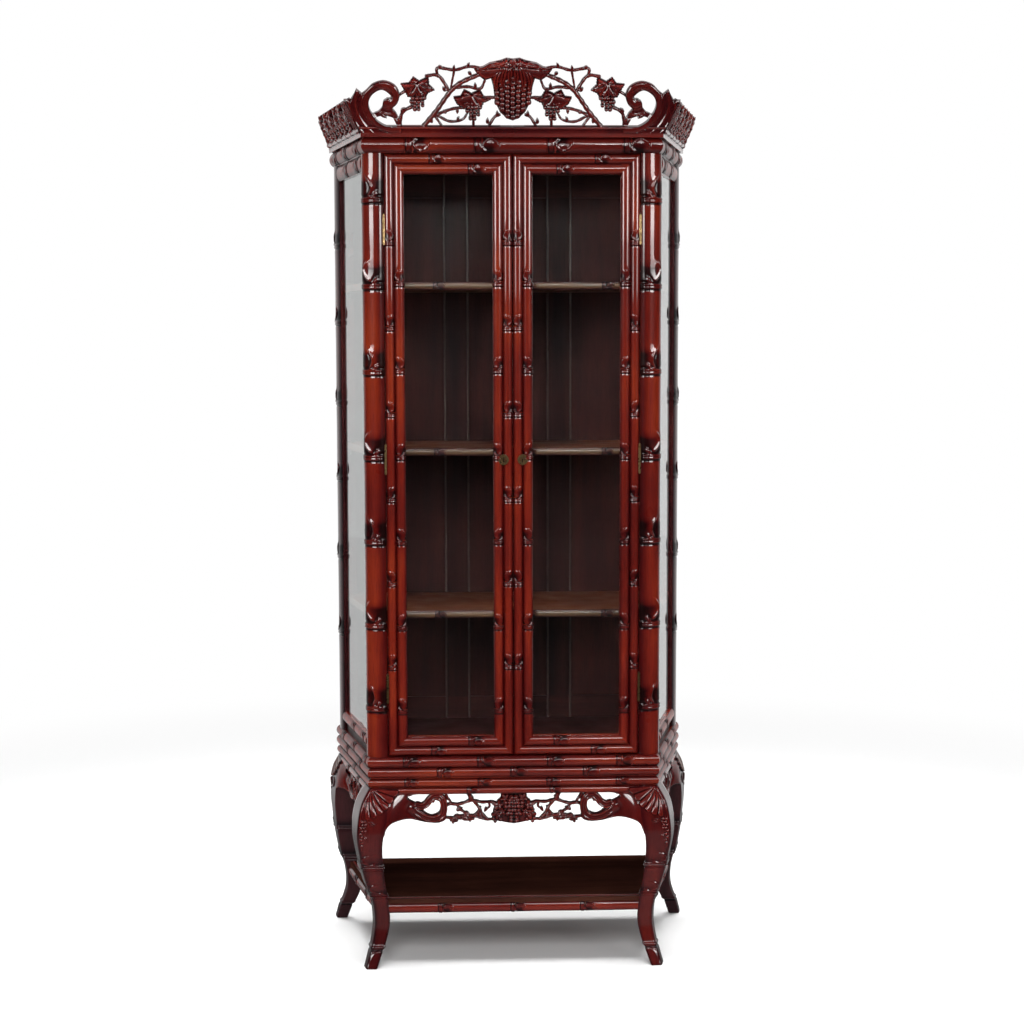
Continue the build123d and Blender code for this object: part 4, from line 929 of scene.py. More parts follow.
def lobed(carving, outline, root, base, rise, cup=6.0, groove=1.7):
    """A leaf with the given outline, its veins running from the root to each outward point."""
    outline = np.asarray(outline, float)
    root = np.asarray(root, float)
    reach = np.hypot(*(outline - root).T)
    is_tip = (reach >= np.roll(reach, 1)) & (reach >= np.roll(reach, -1))
    edge = []
    for a, b in zip(outline, np.roll(outline, -1, axis=0)):
        n = max(2, int(np.linalg.norm(b - a) / 2.4))
        for k in range(n):
            q = a + (b - a) * k / n
            edge.append(q + (q - root) / np.linalg.norm(q - root) * (0.9 if k % 2 else -0.5))
    window, px, py = carving.window(edge, 2)
    inside = inside_distance(px, py, np.array(edge))
    form = base + rise * smoothstep(inside / cup)
    swell = np.zeros(px.shape)
    for tip in outline[is_tip]:
        dist, share, _ = line_distance(px, py, smooth_line([root, (root + tip) / 2, tip]))
        form -= groove * hump(dist, 1.25) * (1 - 0.5 * share)
        swell = np.maximum(swell, hump(dist - 4.5, 3.0) * np.sin(np.pi * clamp(share)))
    rounding = 1.6 * np.exp(-np.clip(inside, 0, 9) / 0.8)
    carving.put(window, inside, form + 1.8 * swell - rounding)


def gallery_half():
    carving = Carving(-0.9, 366, -1, 162, 0.9, wall=6.0)
    line = smooth_line(SCROLL_MIDDLE)

    def flutes(px, py):
        dist, _, _ = line_distance(px, py, line)
        band = 12.2 + 3.6 * dome(dist / 7.6)
        fluted = 14.6 - 3.4 * np.abs(np.cos(np.pi * (dist - 7.5) / 14.0 + np.pi / 2)) ** 0.8
        return np.where(dist < 7.5, band, fluted)

    def band(px, py):
        return 12.2 + 1.8 * clamp(1 - py / 8) ** 2 + 2.6 * dome((py - 12.0) / 2.6)

    scroll = np.concatenate([smooth_line(SCROLL_END), SCROLL_FOOT, SCROLL_TIPS])
    carving.plate(scroll, flutes, edge=2.6, drop=2.2)
    carving.cut(round_loop(SCROLL_HOLE))
    carving.cut(round_loop(LOWER_HOLE))
    carving.grape(267, 70, 5.2, 10.0)
    carving.stem([(303, 36), (290, 43), (272, 46), (256, 36), (248, 20)], 2.6, 2.0, base=8, rise=1.3)
    carving.blade([(284, 45), (277, 38), (270, 33)], 4.0, base=9)
    carving.vines(STEMS, base=6.5, rise=1.15, knot=0.12)
    for x, y, size, turn in BUDS:
        carving.sprig(x, y, turn, 0.55 * size, 1.3 * size, math.radians(14), size * 0.38, 8.5, 4)
    for leaf, root, x, y in ((LEAF_ONE, (204, 108), 203, 76), (LEAF_TWO, (88, 84), 84, 56)):
        lobed(carving, leaf, root, 7.0, 6.0)
        carving.bunch(x, y, 18, 24, radius=4.3, base=8.5, swell=3.5)
    for x, y, turn in BUNCH_LEAVES:
        carving.sprig(x, y, turn, 8, 15, -0.3, 4.6, 11, 4.5)
    carving.strip(0, 400, -4, BAND_TOP, band, edge=1.5, drop=1.0)
    carving.cut([(board_end(-5), -5), (board_end(170), 170), (460, 170), (460, -5)])
    centre = carving.x < CENTRE
    above = carving.y[:, None] > BAND_TOP
    carving.depth[:, centre] = np.where(above, -1, carving.depth[:, centre])
    return carving


def gallery_centre():
    carving = Carving(-84, 84, 22, 162.5, 0.85, wall=7.0)
    right_side = np.array(BUNCH_OUTLINE, float)
    outline = np.concatenate([right_side, (right_side * [-1, 1])[::-1][1:-1]])
    carving.plate(outline, 9.0, edge=3.0, drop=3.0)
    for column in range(-3, 4):
        x = column * 12.4
        top, tip = 118 - 1.5 * abs(column), 32 + 2.6 * abs(column) ** 2.1
        base = 6.8 + 4.2 * (1 - (x / 48) ** 2)
        for y in np.arange(top - (5.2 if column % 2 else 0), tip, -10.4):
            draw = 1 - 0.16 * (1 - (y - 30) / 90)
            jog = RNG.uniform(-0.6, 0.6, 2)
            carving.grape(x * draw + jog[0], y + jog[1], 6.1, base)
    for s in (1, -1):
        lobed(carving, np.multiply(TOP_LEAF, (s, 1)), (s * 14, 143), 10.5, 5.0, cup=5, groove=2.0)
        for points, half in TOP_BLADES:
            carving.blade(np.multiply(points, (s, 1)), half, base=13.0, rise=4.5)
    for x, y, r in TOP_FLOWERS:
        for k in range(5):
            petal = polar(x, y, 0.95 * r, 2 * math.pi * (k + 0.3 * x) / 5)
            carving.grape(*petal, 0.72 * r, 13.5)
        carving.grape(x, y, 0.5 * r, 16.0)
    return carving


def front_board(x, y, h):
    """Place on the leaning front board; its ends close up against the side boards."""
    h = np.minimum(h, BOARD + np.clip(FRONT_TOP - y, 0, 60) * TOP_SLOPE)
    x = x + np.sign(x) * (BOARD - h) * 0.43 * smoothstep((np.abs(x) - board_end(y) + 30) / 30)
    up = np.array([0, -math.sin(FRONT_LEAN), math.cos(FRONT_LEAN)])
    out = np.array([0, -math.cos(FRONT_LEAN), -math.sin(FRONT_LEAN)])
    origin = np.array([0, FRONT_Y - 5.0, CORNICE_TOP])
    return on_plane(origin, X, up, out, x, y, h - BOARD)


half = gallery_half().mesh(front_board)
add_pair("gallery_front", half, DEEP_WOOD, replaces="gallery_front", sharp=SHARP_CUTS)
centre = gallery_centre().mesh(front_board)
add_mesh("gallery_centre", centre, DEEP_WOOD, replaces=["gallery_front"], sharp=SHARP_CUTS)

# the side boards: a framed panel of vines and grapes
SIDE_END = ((0, 0), (2, 10), (-19, 38), (-31, 46), (-27, 58), (-35, 68), (-49, 70))
SIDE_HOLE = ((-1, -0.6), (-0.3, -1), (0.6, -0.5), (1, 0.5), (0.3, 1), (-0.5, 0.5))
SIDE_HOLES = (  # x, height, half width, half height
    (66, 27, 21, 11), (80, 58, 20, 10), (122, 24, 20, 10), (134, 52, 22, 12), (180, 30, 20, 12),
    (192, 58, 19, 10), (236, 24, 20, 10), (248, 52, 20, 12), (292, 32, 17, 11),
)


def side_board():
    carving = Carving(-14, SIDE_RUN + 6, -1, 81, 0.9, wall=5.0)
    end = [(SIDE_RUN + x, y) for x, y in SIDE_END]
    top = (end[-1][0] - 10, SIDE_TOP)
    carving.plate([(-60, -4), (SIDE_RUN, -4), *end, top, (-60, SIDE_TOP)], 3.0, edge=1.5, drop=1.0)
    rng = np.random.default_rng(5)
    for x, y, wide, tall in SIDE_HOLES:
        hole = np.array(SIDE_HOLE) * [wide, tall] * rng.uniform(0.85, 1.05) + [x, y]
        carving.cut(round_loop(hole))
    for x in np.arange(34, SIDE_RUN - 40, 57.0):
        sway = rng.uniform(-5, 5, 4)
        points = np.stack([[x + 46, x + 24, x + 26, x - 10] + sway, [8, 26, 48, 75]], 1)
        carving.stem(points, 6.6, 4.4, base=8.0, rise=1.15, knot=0.14)
        points = [(x + 24, 30), (x + 48 + sway[2], 42), (x + 56, 60)]
        carving.stem(points, 4.2, 3.0, base=7.5, rise=1.2, knot=0.14)
    for i, x in enumerate(np.arange(60, SIDE_RUN - 60, 57.0)):
        y, turn = ((44, 290), (56, 245))[i % 2]
        carving.leaf(x + rng.uniform(-3, 3), y, rng.uniform(21, 24), turn, base=9.5, rise=5.5)
        carving.bunch(x + 24, 34, 13, 21, radius=5.3, base=8.0, swell=3.5)

    def rim(px, py):
        return 13.4 + 1.2 * np.cos(clamp((py - 1) / 6) * 2 * np.pi)

    def fluted(px, py):
        return 13.0 + 1.8 * np.cos((px + 10) / 5.0 * np.pi)

    carving.strip(-60, SIDE_RUN + 8, -4, 12, rim, edge=2, drop=1.6)
    carving.strip(-60, 34, -4, SIDE_TOP, fluted, edge=2.4, drop=2.0)
    carving.stem(end[1:], 4.2, 4.0, base=7, rise=1.3)
    for x, y, r in ((SIDE_RUN - 34, 44, 9.0), (SIDE_RUN - 39, 63, 8.0)):
        carving.grape(x, y, r, 6.0)
    carving.cut([(SIDE_RUN, -5), *end[1:], top, (top[0], 95), (SIDE_RUN + 40, 95), (SIDE_RUN + 40, -5)])
    carving.depth[carving.y > SIDE_TOP + 0.1] = -1
    return carving


def side_place(x, y, h):
    """Place on the right side board; its front end closes up behind the front board."""
    up = OUT * math.sin(SIDE_LEAN) + Z * math.cos(SIDE_LEAN)
    out = OUT * math.cos(SIDE_LEAN) - Z * math.sin(SIDE_LEAN)
    x = np.maximum(x, -0.42 * y + 5.0 + (BOARD - h) * 0.2)
    h = np.minimum(h, BOARD - 0.5 + np.clip(SIDE_TOP - y, 0, 60) * TOP_SLOPE)
    return on_plane(side_point(0, 5.0, CORNICE_TOP), ALONG, up, out, x, y, h - BOARD)


board = side_board().mesh(side_place)
add_pair("gallery_panel", board, DEEP_WOOD, replaces="gallery_side_{}", sharp=SHARP_CUTS)

# ---------- stand: aprons ----------
LEG_STATIONS = np.array(  # height, swell, width
    [
        (410, 0, 42), (380, 20, 58), (345, 30, 63), (300, 33, 57), (250, 24, 49), (200, 12, 44),
        (150, -7, 35), (100, -13, 34), (60, -7, 31), (28, 4, 28), (0, 14, 26),
    ],
    float,
)[::-1]
LEG_CURVE = smooth_line(LEG_STATIONS[:, :2], 2.0)
LEG_WIDTHS = smooth_line(LEG_STATIONS[:, ::2], 2.0)
LEG_TOP = 410.0
LEG_INSET = 42.0  # how far from its corner of the stand a leg ends at its top
LEG_EDGE = HALF_FRONT - LEG_INSET
APRON_Y, SIDE_APRON = -160.0, -3.0  # the aprons' plain faces
APRON_THICK = 16.0
APRON_REED_Z, SHELF_REED_Z, SHELF_BEAD_Z = 402.5, 130.5, 151.0
VINE = dict(base=8, rise=1.3, knot=0.15)
APRON_REED = dict(section=arc_section(7.5, 5.2, 1.2), half=7.5, material=ACROSS_WOOD)
RING = (
    (222, 371), (208, 366), (196, 371), (188, 381), (178, 389), (166, 388), (158, 378), (156, 362),
    (160, 346), (175, 338), (196, 340), (214, 350), (228, 362),
)  # the bracket's scroll on the front: x, height
LOW_EDGE = (
    (296, 304), (289, 309), (284, 324), (273, 336), (253, 341), (233, 340), (213, 334), (196, 330),
    (174, 328), (159, 331), (150, 338),
)
HEART = ((202, 359), (188, 374), (179, 380), (167, 377), (164, 366), (168, 353), (179, 347), (191, 348))
CORNER_HOLE = ((238, 386), (228, 393), (187, 394), (192, 385), (206, 374), (223, 376))
FRONT_VINES = (
    (
        3.2,
        (
            (152, 368), (140, 370), (126, 369), (112, 372), (98, 377), (84, 376), (70, 373), (50, 374),
            (36, 370),
        ),
    ),
    (3.0, ((154, 340), (138, 338), (122, 342), (104, 344), (90, 342), (76, 338), (62, 334), (46, 334))),
    (3.0, ((128, 369), (118, 356), (102, 346))),
    (3.4, ((98, 396), (96, 384), (86, 372), (76, 358), (70, 346), (60, 336))),
    (2.6, ((152, 392), (146, 382), (140, 372))),
    (2.6, ((90, 342), (80, 352), (74, 362))),
    (2.4, ((104, 394), (100, 386))),
    (2.4, ((56, 372), (54, 364), (60, 358))),
)
FRONT_BLADES = (  # x, height, size, direction
    (148, 380, 12, 60), (134, 342, 15, 190), (128, 354, 12, 140), (112, 350, 14, 200),
    (118, 338, 15, 185), (100, 388, 11, 250), (90, 384, 10, 20), (62, 362, 9, 280), (84, 346, 12, 190),
    (140, 334, 13, 175), (50, 372, 9, 200),
)
FLOWER_LEAVES = ((34, 366, 16, 25), (38, 348, 14, -20), (20, 382, 14, 60), (26, 352, 13, -60))
FRONT_MIDDLE = ((-30, 328), (34, 330), (44, 342), (40, 362), (30, 376), (24, 398), (-24, 398))
CORNER_BLADES = (
    ((262, 406), (250, 400), (238, 404)),
    ((238, 404), (230, 396), (240, 392)),
    ((240, 352), (252, 360), (268, 356)),
)


def leg_swell(z):
    return np.interp(z, LEG_CURVE[:, 0], LEG_CURVE[:, 1])


def apron_half(length, share):
    """Right half of an apron: x from its middle, y the height. share is how much the leg swells."""
    shift = np.array([length - LEG_EDGE, 0.0])
    carving = Carving(-1.2, length + 22, 296, LEG_TOP + 1, 0.9, wall=6.0)
    edge = smooth_line(LOW_EDGE + shift)
    tube = smooth_line(RING + shift)

    def face(px, py):
        to_leg = smoothstep((px - (length - 66)) / 66)
        rise = (leg_swell(py) * share + 4.2) * to_leg
        dist, _, _ = line_distance(px, py, tube)
        return 14.5 + rise - 2.6 * hump(dist - 10, 4.5) * (1 - to_leg)

    bracket = np.concatenate([edge, ((152, 380), (170, 397), (320, 412), (320, 300)) + shift])
    carving.plate(bracket, face, edge=2.4, drop=2.2)
    for hole in (HEART, CORNER_HOLE):
        carving.cut(round_loop(hole + shift))
    carving.band(tube[4:], 8.0, 7.0, base=12.0, rise=4.0, rim=2.2)
    for x, y, r in ((222, 368, 5.0), (230, 362, 4.2), (180, 378, 3.6)):
        carving.grape(x + shift[0], y, r, 12.0)
    for points in CORNER_BLADES:
        carving.blade(points + shift, 4.0, base=15.5, rise=3.0)
    return carving


def front_apron():
    carving = apron_half(LEG_EDGE, 1.0)
    carving.vines(FRONT_VINES, **VINE)
    for x, y, size, turn in FRONT_BLADES:
        carving.sprig(x, y, turn, 0.6 * size, 1.25 * size, 0.25, size * 0.34, 9, 4.5)
    for x, y in ((136, 334), (98, 338)):
        carving.leaf(x, y, 11, 200, base=8.5, rise=4)
    # the flower and grapes in the middle
    carving.plate(round_loop(FRONT_MIDDLE), 8.0, edge=3, drop=3)
    for x, y, size, turn in FLOWER_LEAVES:
        carving.leaf(x, y, size, turn, base=9.5, rise=5)
    carving.bunch(0, 372, 22, 40, radius=4.2, base=9.5, swell=5, tip=0.3)
    for k in range(6):
        a = 2 * math.pi * k / 6
        carving.grape(8.0 * math.cos(a), 378 + 6.5 * math.sin(a), 4.6, 12.5)
    carving.grape(0, 378, 4.0, 15.5)
    for x, y in ((30, 334), (38, 338), (46, 336), (34, 341), (42, 330)):
        carving.grape(x, y, 3.8, 9.5)
    # the shadowed strip under the reed along the top
    carving.strip(-4, LEG_EDGE + 30, 395, 411, 12.0, edge=0.5, drop=0.5)
    return carving


def apron_place(x, y, h):
    return on_plane([0, APRON_Y + APRON_THICK, 0], X, Z, -Y, x, y, h)


def side_apron(share):
    length = SIDE_RUN / 2 - LEG_INSET
    carving = apron_half(length, share)
    carving.vines(
        (
            (3.0, ((length - 119, 352), (length - 128, 362), (length - 140, 366), (0, 364))),
            (3.2, ((length - 108, 334), (length - 124, 340), (length - 136, 334), (0, 334))),
            (2.6, ((length - 118, 396), (length - 119, 384), (length - 116, 372))),
            (2.6, ((0, 396), (4, 380), (0, 364))),
        ),
        **VINE,
    )
    carving.leaf(length - 130, 348, 15, 200, base=9, rise=5)
    carving.leaf(3, 382, 12, 90, base=9, rise=5)
    carving.bunch(1, 362, 13, 28, radius=4, base=9)
    carving.strip(-4, length + 30, 394, 411, 12.0, edge=0.5, drop=0.5)
    return carving


def side_apron_place(x, y, h):
    return on_plane(side_point(SIDE_RUN / 2, SIDE_APRON - APRON_THICK), ALONG, Z, OUT, x, y, h)


apron = front_apron().mesh(apron_place)
add_pair("apron_front", apron, DEEP_WOOD, replaces="apron_front", sharp=SHARP_CUTS)
start = -LEG_EDGE - 3
cane(
    "cane_apron_front", np.array([start, APRON_Y, APRON_REED_Z]), X, -Y, -2 * start,
    nodes=rings((-90, 95), start + BUD_LEAD), **APRON_REED,
)

# the half towards the rear leg, and the half towards the front leg, which swells more
rear_half = side_apron(0.5).mesh(side_apron_place)
points, groups = side_apron(1.0).mesh(lambda x, y, h: side_apron_place(-x, y, h))
side_halves = joined(rear_half, (points, [g[:, ::-1] for g in groups]))
add_pair("apron_carving", side_halves, DEEP_WOOD, replaces="apron_side_{}", sharp=SHARP_CUTS)
cane(
    "cane_apron_side", side_point(39.0, SIDE_APRON, APRON_REED_Z), ALONG, OUT, SIDE_RUN - 78,
    nodes=rings((75, 190), 0), pair=True, **APRON_REED,
)

# ---------- stand: legs and undershelf ----------
LEG_NODES = (233.0, 162.0)
REAR_SHARE, REAR_KICK = 0.5, 24.0
KNEE_SINK = 2.2  # how far a knee's carving is let into the leg


def fan(carving, root, first, last, reach, lobes):
    """A shell of lobes that spread from the root between two directions, in degrees."""
    window, px, py = carving.window([root], reach * 1.12)
    dx, dy = px - root[0], py - root[1]
    dist = np.hypot(dx, dy)
    turn = (np.degrees(np.arctan2(dy, dx)) % 360 - first) / (last - first) * lobes
    part = turn - np.floor(turn)
    bulge = dome(2 * part - 1)
    edge = reach * (1.0 - 0.12 * np.abs(turn / lobes - 0.45)) * (0.86 + 0.14 * bulge)
    beside = np.minimum(turn, lobes - turn) * dist * math.radians((last - first) / lobes)
    inside = np.minimum(np.minimum(edge - dist, beside), dist - 3)
    far = clamp(dist / edge)
    groove = 2.6 * hump(np.minimum(part, 1 - part) * dist * 0.30, 1.1) * np.sqrt(far)
    form = 6.0 * (0.35 + 0.65 * bulge) * (0.35 + 0.65 * far) * smoothstep(inside / 3.0)
    carving.put(window, inside, 1.8 + form - groove)


def leg_width(z):
    return np.interp(z, LEG_WIDTHS[:, 0], LEG_WIDTHS[:, 1])


def leg_corner(z, rear):
    """The outer corner of a right-hand leg in plan: a front leg's front one, a rear leg's back one."""
    swell = leg_swell(z)
    if rear:
        swell = np.minimum(swell, REAR_SHARE * swell)
        depth = swell + REAR_KICK * (1 - z / LEG_TOP) ** 3
        return np.stack([HALF_BACK + swell / OUT[0] + RUN_BACK * depth, BACK_Y + depth], -1)
    return np.stack([HALF_FRONT + swell / OUT[0] - RUN_BACK * swell, FRONT_Y - swell], -1)


def leg_relief(s, z):
    """Height of a leg's carving at s from its outer corner and at the height z."""
    rise = np.zeros(s.shape)
    for ring in LEG_NODES:
        up = z - ring
        rise += 2.1 * hump(up, 1.7) + 1.5 * hump(up - 5.8, 1.7)
        rise -= 1.3 * hump(up + 4.4, 2.0)
        rise += 1.5 * np.exp(-np.abs(up - 2) / 12)
        bud = carve_bud(HOOK, (s - 16.0) / 15.0, up / 10.0) * 14.0
        bud += 4.2 * np.exp(-(((s - 2) / 6.5) ** 2) - ((up - 14) / 6.0) ** 2)
        rise += bud * smoothstep((up - 3) / 4)
    toe = 2.0 * hump(z - 46, 3.0) - 1.6 * hump(z - 39, 2.2)
    toe += carve_bud(CURL, (s - 13.0) / 11.0, (46 - z) / 13.0) * 6.0 * smoothstep((44 - z) / 5)
    return rise + toe


def leg_mesh(rear):
    """A leg's shell: four faces with rounded edges, carved nodes and a carved toe."""
    dense = [np.arange(a, b, CANE_STEP) for a, b in ((0.0, 54.0), (152.0, 196.0), (224.0, 266.0))]
    z = np.unique(np.concatenate([np.arange(0.0, LEG_TOP, 5.0), [LEG_TOP], *dense]).round(1))
    corner, width = leg_corner(z, rear), leg_width(z)
    back = -1.0 if rear else 1.0
    step_x = np.stack([width, 0 * width], -1)
    step_y = np.stack([RUN_BACK * width, width], -1) * back
    loop = np.stack([corner, corner - step_x, corner - step_x + step_y, corner + step_y], 1)
    seam = 1.0 + 4.0 * smoothstep((306 - z) / 20)  # the faces beside an apron meet it squarely
    radii = np.stack([np.full(z.shape, 6.5), seam, np.full(z.shape, 4.0), seam + 0.5], 1)
    none = np.full(z.shape, 99.0)  # too far from the outer corner for any carving
    path, from_corner = [], []
    for i in range(4):
        here, before, after = loop[:, i], loop[:, i - 1], loop[:, (i + 1) % 4]
        r, r_next = radii[:, i, None], radii[:, (i + 1) % 4, None]
        length = np.linalg.norm(after - here, axis=1)[:, None]
        into = (before - here) / np.linalg.norm(before - here, axis=1)[:, None]
        away = (after - here) / length
        for t in np.linspace(0, 1, 7):
            path.append(here + into * r * (1 - t) ** 2 + away * r * t**2)
            from_corner.append(none if i else (2 * t - 1) * r[:, 0])
        for t in np.linspace(0, 1, 12)[1:-1]:
            run = r + t * (length - r - r_next)
            path.append(here + away * run)
            from_corner.append({0: run[:, 0], 3: (run - length)[:, 0]}.get(i, none))
    path, s = np.stack(path, 1), np.stack(from_corner, 1)
    tangent = np.roll(path, -1, 1) - np.roll(path, 1, 1)
    tangent /= np.linalg.norm(tangent, axis=2)[..., None]
    normal = np.stack([-tangent[..., 1], tangent[..., 0]], -1) * back
    high = z[:, None] + 0 * s
    rise = leg_relief(s, high)
    foot = 2.2 * (1 - np.sqrt(1 - clamp(1 - z / 4.0) ** 2))
    spots = path + normal * (rise - foot[:, None])[..., None]
    # dark glaze and painted shade: darker towards the edges of the outer faces, on the inner faces, in
    # the grooves and above each ring. Darker towards the foot as well.
    middle = np.abs(s / width[:, None] - 0.5) * 2
    dark = np.where(s < 90, 0.10 + 0.40 * smoothstep((middle - 0.45) / 0.6), 0.4)
    dark += 0.35 * np.clip(0.5 - rise, 0, 1) * (np.abs(rise) > 0.4)
    dark += 0.15 * smoothstep((60 - high) / 30)
    for ring in LEG_NODES:
        dark += 0.5 * hump(high - ring - 9, 9) * clamp(1 - rise / 3.2)
    points = np.concatenate([spots, high[..., None], clamp(dark)[..., None]], 2)
    index, quads = ring_faces(*s.shape)
    groups = [quads, index[:1], index[-1:, ::-1]]
    return points.reshape(-1, 4), [g[:, ::-1] for g in groups] if rear else groups


def knee():
    """Carving of a front knee: a fan of leaves from the corner, and a trail of grapes below."""
    carving = Carving(-80, 4, -140, 2, 0.8, wall=2.0)
    fan(carving, (-5.0, -1.0), 181.0, 263.0, 69.0, 6)
    for k, y in enumerate(np.arange(-68, -128, -6.8)):
        for i in range(2 if k < 4 else 1):
            carving.grape(-8 - 6.8 * i - (2.4 if k % 2 else 0), y, 3.9 - 0.1 * k, 1.4)
    carving.stem([(-5, -6), (-4, -60), (-5, -100), (-7, -134)], 2.2, 1.4, base=1.6, rise=1.0)
    carving.blade([(-24, -68), (-33, -74), (-42, -72)], 4.5, base=1.4, rise=3)
    carving.blade([(-14, -100), (-20, -108), (-21, -118)], 3.6, base=1.4, rise=2.4)
    return carving


def rear_knee():
    """Carving of a rear knee's side: a broad fan with a scroll beneath it."""
    carving = Carving(-66, 0, -92, 2, 0.8, wall=2.0)
    fan(carving, (-5.0, -2.0), 182.0, 264.0, 58.0, 5)
    scroll = [(-6, -62), (-20, -76), (-38, -74), (-44, -62), (-34, -56)]
    carving.stem(scroll, 4.2, 2.6, base=1.6, rise=1.0)
    carving.blade([(-8, -66), (-12, -78), (-10, -90)], 4.2, base=1.6, rise=3)
    return carving


def knee_place(x, y, h):
    corner = leg_corner(LEG_TOP + y, False)
    return np.stack([corner[:, 0] + x, corner[:, 1] - (h - KNEE_SINK), LEG_TOP + y], 1)


def rear_knee_place(x, y, h):
    corner = leg_corner(LEG_TOP + y, True)
    spot = corner + x[:, None] * ALONG[:2] + (h - KNEE_SINK)[:, None] * OUT[:2]
    return np.concatenate([spot, (LEG_TOP + y)[:, None]], 1)


for place, rear, material in (("front", False, LEG_WOOD), ("rear", True, REAR_LEG_WOOD)):
    add_pair(f"carved_leg_{place}", leg_mesh(rear), material, replaces=f"leg_{place}_{{}}", sharp=60)
for name, carving, place, material in (
    ("knee_leaves", knee(), knee_place, DEEP_WOOD),
    ("rear_knee_leaves", rear_knee(), rear_knee_place, REAR_LEG_WOOD),
):
    shape = carving.mesh(place)
    add_mesh(name, joined(shape, mirrored(shape)), material, sharp=SHARP_CUTS)

SHELF_REED = dict(section=arc_section(10.2, 4.2, 1.3), half=10.0, material=CARVED_ACROSS)
SHELF_BEAD = dict(section=arc_section(2.6, 1.8, 0.9), nodes=[], half=2.6, material=CARVED_ACROSS)
cane(
    "cane_undershelf_front", np.array([-286.0, FRONT_Y + 18.0, SHELF_REED_Z]), X, -Y, 572.0,
    nodes=rings((-155, 8, 165), -286.0 + BUD_LEAD), **SHELF_REED,
)
cane(
    "cane_undershelf_side", side_point(42.0, -18.0, SHELF_REED_Z), ALONG, OUT, SIDE_RUN - 88,
    nodes=rings((70, 190), 0), pair=True, **SHELF_REED,
)
# a bead on the undershelf behind its front edge, returning along the ends
cane(
    "undershelf_bead_front", np.array([-284.0, FRONT_Y + 27.0, SHELF_BEAD_Z]), X, Z, 568.0, **SHELF_BEAD
)
cane(
    "undershelf_bead_side", side_point(30.0, -27.0, SHELF_BEAD_Z), ALONG, Z, SIDE_RUN - 74,
    pair=True, **SHELF_BEAD,
)

# ---------- stage, light, camera ----------


def stage_disc(radius, name):
    angle = np.linspace(0, 2 * np.pi, 128, endpoint=False)
    mesh = bpy.data.meshes.new(name)
    points = [(radius * math.cos(a), radius * math.sin(a), 0) for a in angle]
    mesh.from_pydata(points, [], [list(range(len(points)))])
    thing = bpy.data.objects.new(name, mesh)
    bpy.context.scene.collection.objects.link(thing)
    return thing


def unbounced(tree, path):
    """1 for a ray that has at most passed through glass on its way from the camera, else 0."""
    turns = maths(tree, "ADD", path.outputs["Diffuse Depth"], path.outputs["Glossy Depth"])
    return maths(tree, "LESS_THAN", turns, 0.5)


def floor_material():
    """Pale floor that fades into the white behind it and keeps the object's shadow.

    What has bounced off the object sees less light in it: a glow behind, and some near by."""
    material = bpy.data.materials.new("studio_floor")
    tree = fresh_tree(material)
    place = add_node(tree, "TexCoord").outputs["Object"]
    path = add_node(tree, "LightPath")
    far = add_node(tree, "VectorMath", {"operation": "LENGTH"}, i0=place).outputs["Value"]
    depth = add_node(tree, "SeparateXYZ", i0=place).outputs[1]
    paint = add_node(tree, "BsdfDiffuse", i0=(0.90, 0.90, 0.90, 1)).outputs[0]
    white = add_node(tree, "Emission", i0=(1, 1, 1, 1)).outputs[0]
    faded = mix_shaders(tree, remap(tree, far, 1.0, 3.2, smooth=True), paint, white)
    behind = remap(tree, depth, 0.2, 1.8, smooth=True)
    slant = remap(tree, maths(tree, "DIVIDE", depth, far), 0.0, 0.75, 0.0, 0.82, smooth=True)
    rear = maths(tree, "MULTIPLY_ADD", behind, slant, 0.015)
    near = remap(tree, far, 1.5, 2.2, 0.22, 0.0, smooth=True)
    glow = add_node(tree, "Emission", i0=(1, 1, 1, 1), i1=maths(tree, "MAXIMUM", rear, near)).outputs[0]
    bounced = mix_shaders(tree, path.outputs["Is Glossy Ray"], paint, glow)
    add_node(tree, "OutputMaterial", i0=mix_shaders(tree, unbounced(tree, path), bounced, faded))
    return material


floor = stage_disc(9.0, "studio_floor")
floor.data.materials.append(floor_material())

world = bpy.data.worlds.new("studio")
bpy.context.scene.world = world
sky = fresh_tree(world)
path = add_node(sky, "LightPath")
way = add_node(sky, "SeparateXYZ", i0=add_node(sky, "TexCoord").outputs["Generated"])
behind = remap(sky, way.outputs[1], 0.0, 0.75, 0.0, 0.9, smooth=True)
seen = maths(sky, "MAXIMUM", path.outputs["Is Glossy Ray"], path.outputs["Is Transmission Ray"])
soft = add_node(sky, "Mix", {"data_type": "FLOAT"}, i0=seen, i2=0.20, i3=behind).outputs[0]
strength = add_node(sky, "Mix", {"data_type": "FLOAT"}, i0=unbounced(sky, path), i2=soft, i3=1.0)
back = add_node(sky, "Background", i0=(1, 1, 1, 1), i1=strength.outputs[0])
add_node(sky, "OutputWorld", i0=back.outputs[0])


def softbox(name, place, target, wide, tall, power, spread=180, **seen_by):
    light = bpy.data.lights.new(name, "AREA")
    light.shape = "RECTANGLE"
    light.size, light.size_y = wide, tall
    light.energy = power
    light.spread = math.radians(spread)
    thing = bpy.data.objects.new(name, light)
    thing.location = place
    thing.rotation_euler = (Vector(target) - Vector(place)).to_track_quat("-Z", "Y").to_euler()
    for kind, seen in seen_by.items():
        setattr(thing, f"visible_{kind}", seen)
    bpy.context.scene.collection.objects.link(thing)


def mirror_light(name, place, target, wide, tall, glow):
    """A light that shows only as a streak in the lacquer. glow is how bright it looks."""
    softbox(name, place, target, wide, tall, glow * math.pi * wide * tall, diffuse=False)


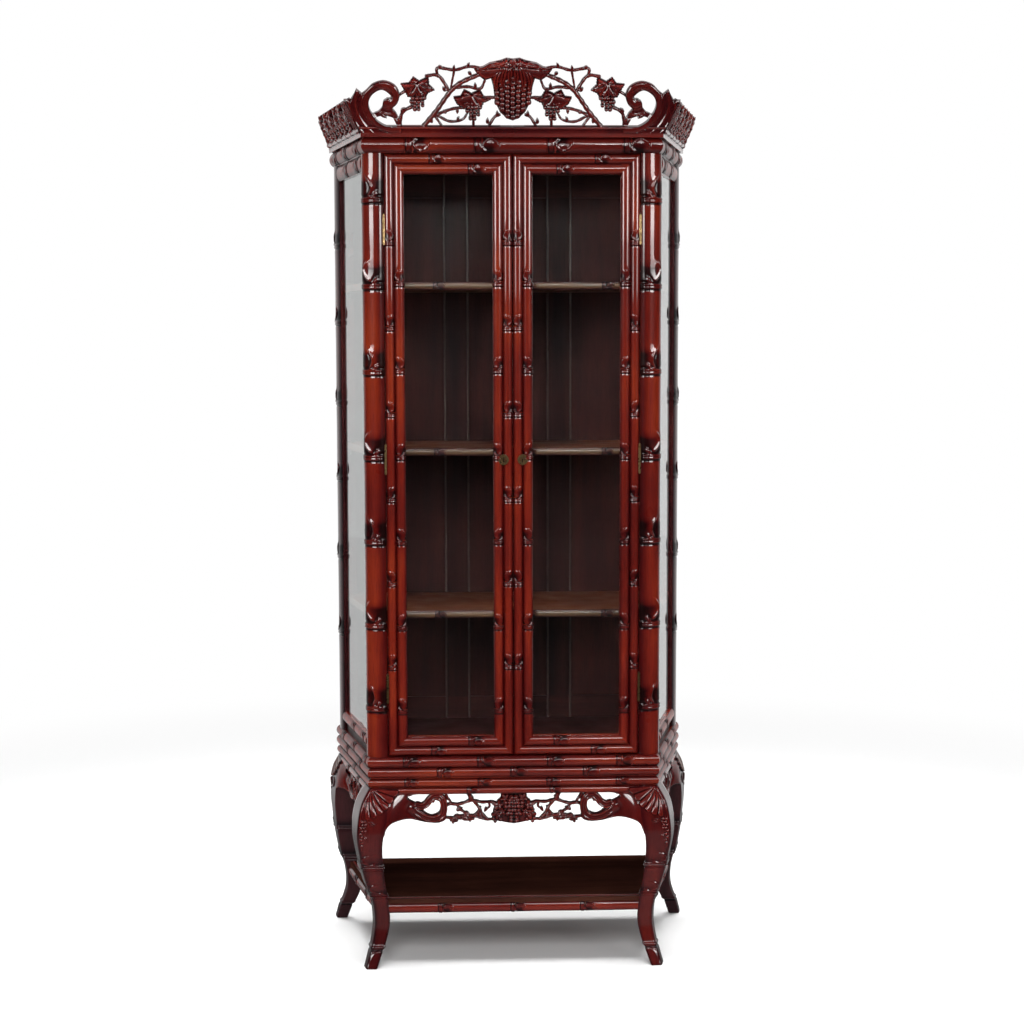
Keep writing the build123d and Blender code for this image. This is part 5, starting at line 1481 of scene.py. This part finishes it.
for side, tag in ((-1, "left"), (1, "right")):
    for name, middle, tall, glow in (
        ("low", 1.69, 0.22, 6.0), ("middle", 1.97, 0.34, 15.0), ("upper", 2.36, 0.44, 12.0),
        ("high", 3.0, 0.84, 20.0),
    ):
        place, target = (2.75 * side, -2.7, middle), (0, 0.1, middle)
        mirror_light(f"streak_{name}_{tag}", place, target, 1.7, tall, glow)
for tag, x, glow in (("right", 0.55, 45.0), ("left", -0.42, 30.0)):
    mirror_light(f"glint_{tag}", (x, -3.9, 2.5), (0, 0, 1.2), 0.16, 0.16, glow)
for tag, x, wide, glow in (("right", 0.66, 0.94, 7.0), ("left", -0.36, 1.1, 3.4)):
    mirror_light(f"strip_{tag}", (x, -3.9, 3.1), (x, 0, 1.2), wide, 1.2, glow)
softbox("overhead", (0, -0.1, 4.3), (0, -0.1, 0), 3.2, 2.8, 116, spread=95, glossy=False)
softbox("key_front", (-0.4, -3.9, 2.85), (0, 0, 1.1), 1.9, 1.5, 88, glossy=False)
softbox("fill_right", (2.6, -3.0, 1.6), (0, 0, 1.0), 1.2, 1.2, 10, glossy=False)

# the photograph's camera: focal length in pixels, place in metres, turn in radians
FOCAL, PICTURE, SENSOR = 1869.95, 1024, 36.0
EYE = (-0.153005, -4.254585, 1.414477)
YAW, PITCH, ROLL = 0.036712, -0.094595, -0.002452
camera = bpy.data.cameras.new("camera")
camera.sensor_width = SENSOR
camera.lens = FOCAL / PICTURE * SENSOR
ahead = np.array([math.sin(YAW) * math.cos(PITCH), math.cos(YAW) * math.cos(PITCH), math.sin(PITCH)])
right = np.array([math.cos(YAW), -math.sin(YAW), 0.0])
up = np.cross(right, ahead)
turned_right = math.cos(ROLL) * right + math.sin(ROLL) * up
turned_up = -math.sin(ROLL) * right + math.cos(ROLL) * up
eye = bpy.data.objects.new("camera", camera)
axes = np.stack([turned_right, turned_up, -ahead, EYE], 1)
eye.matrix_world = Matrix([*axes.tolist(), [0, 0, 0, 1]])
bpy.context.scene.collection.objects.link(eye)
bpy.context.scene.camera = eye
bpy.context.scene.view_settings.view_transform = "Standard"
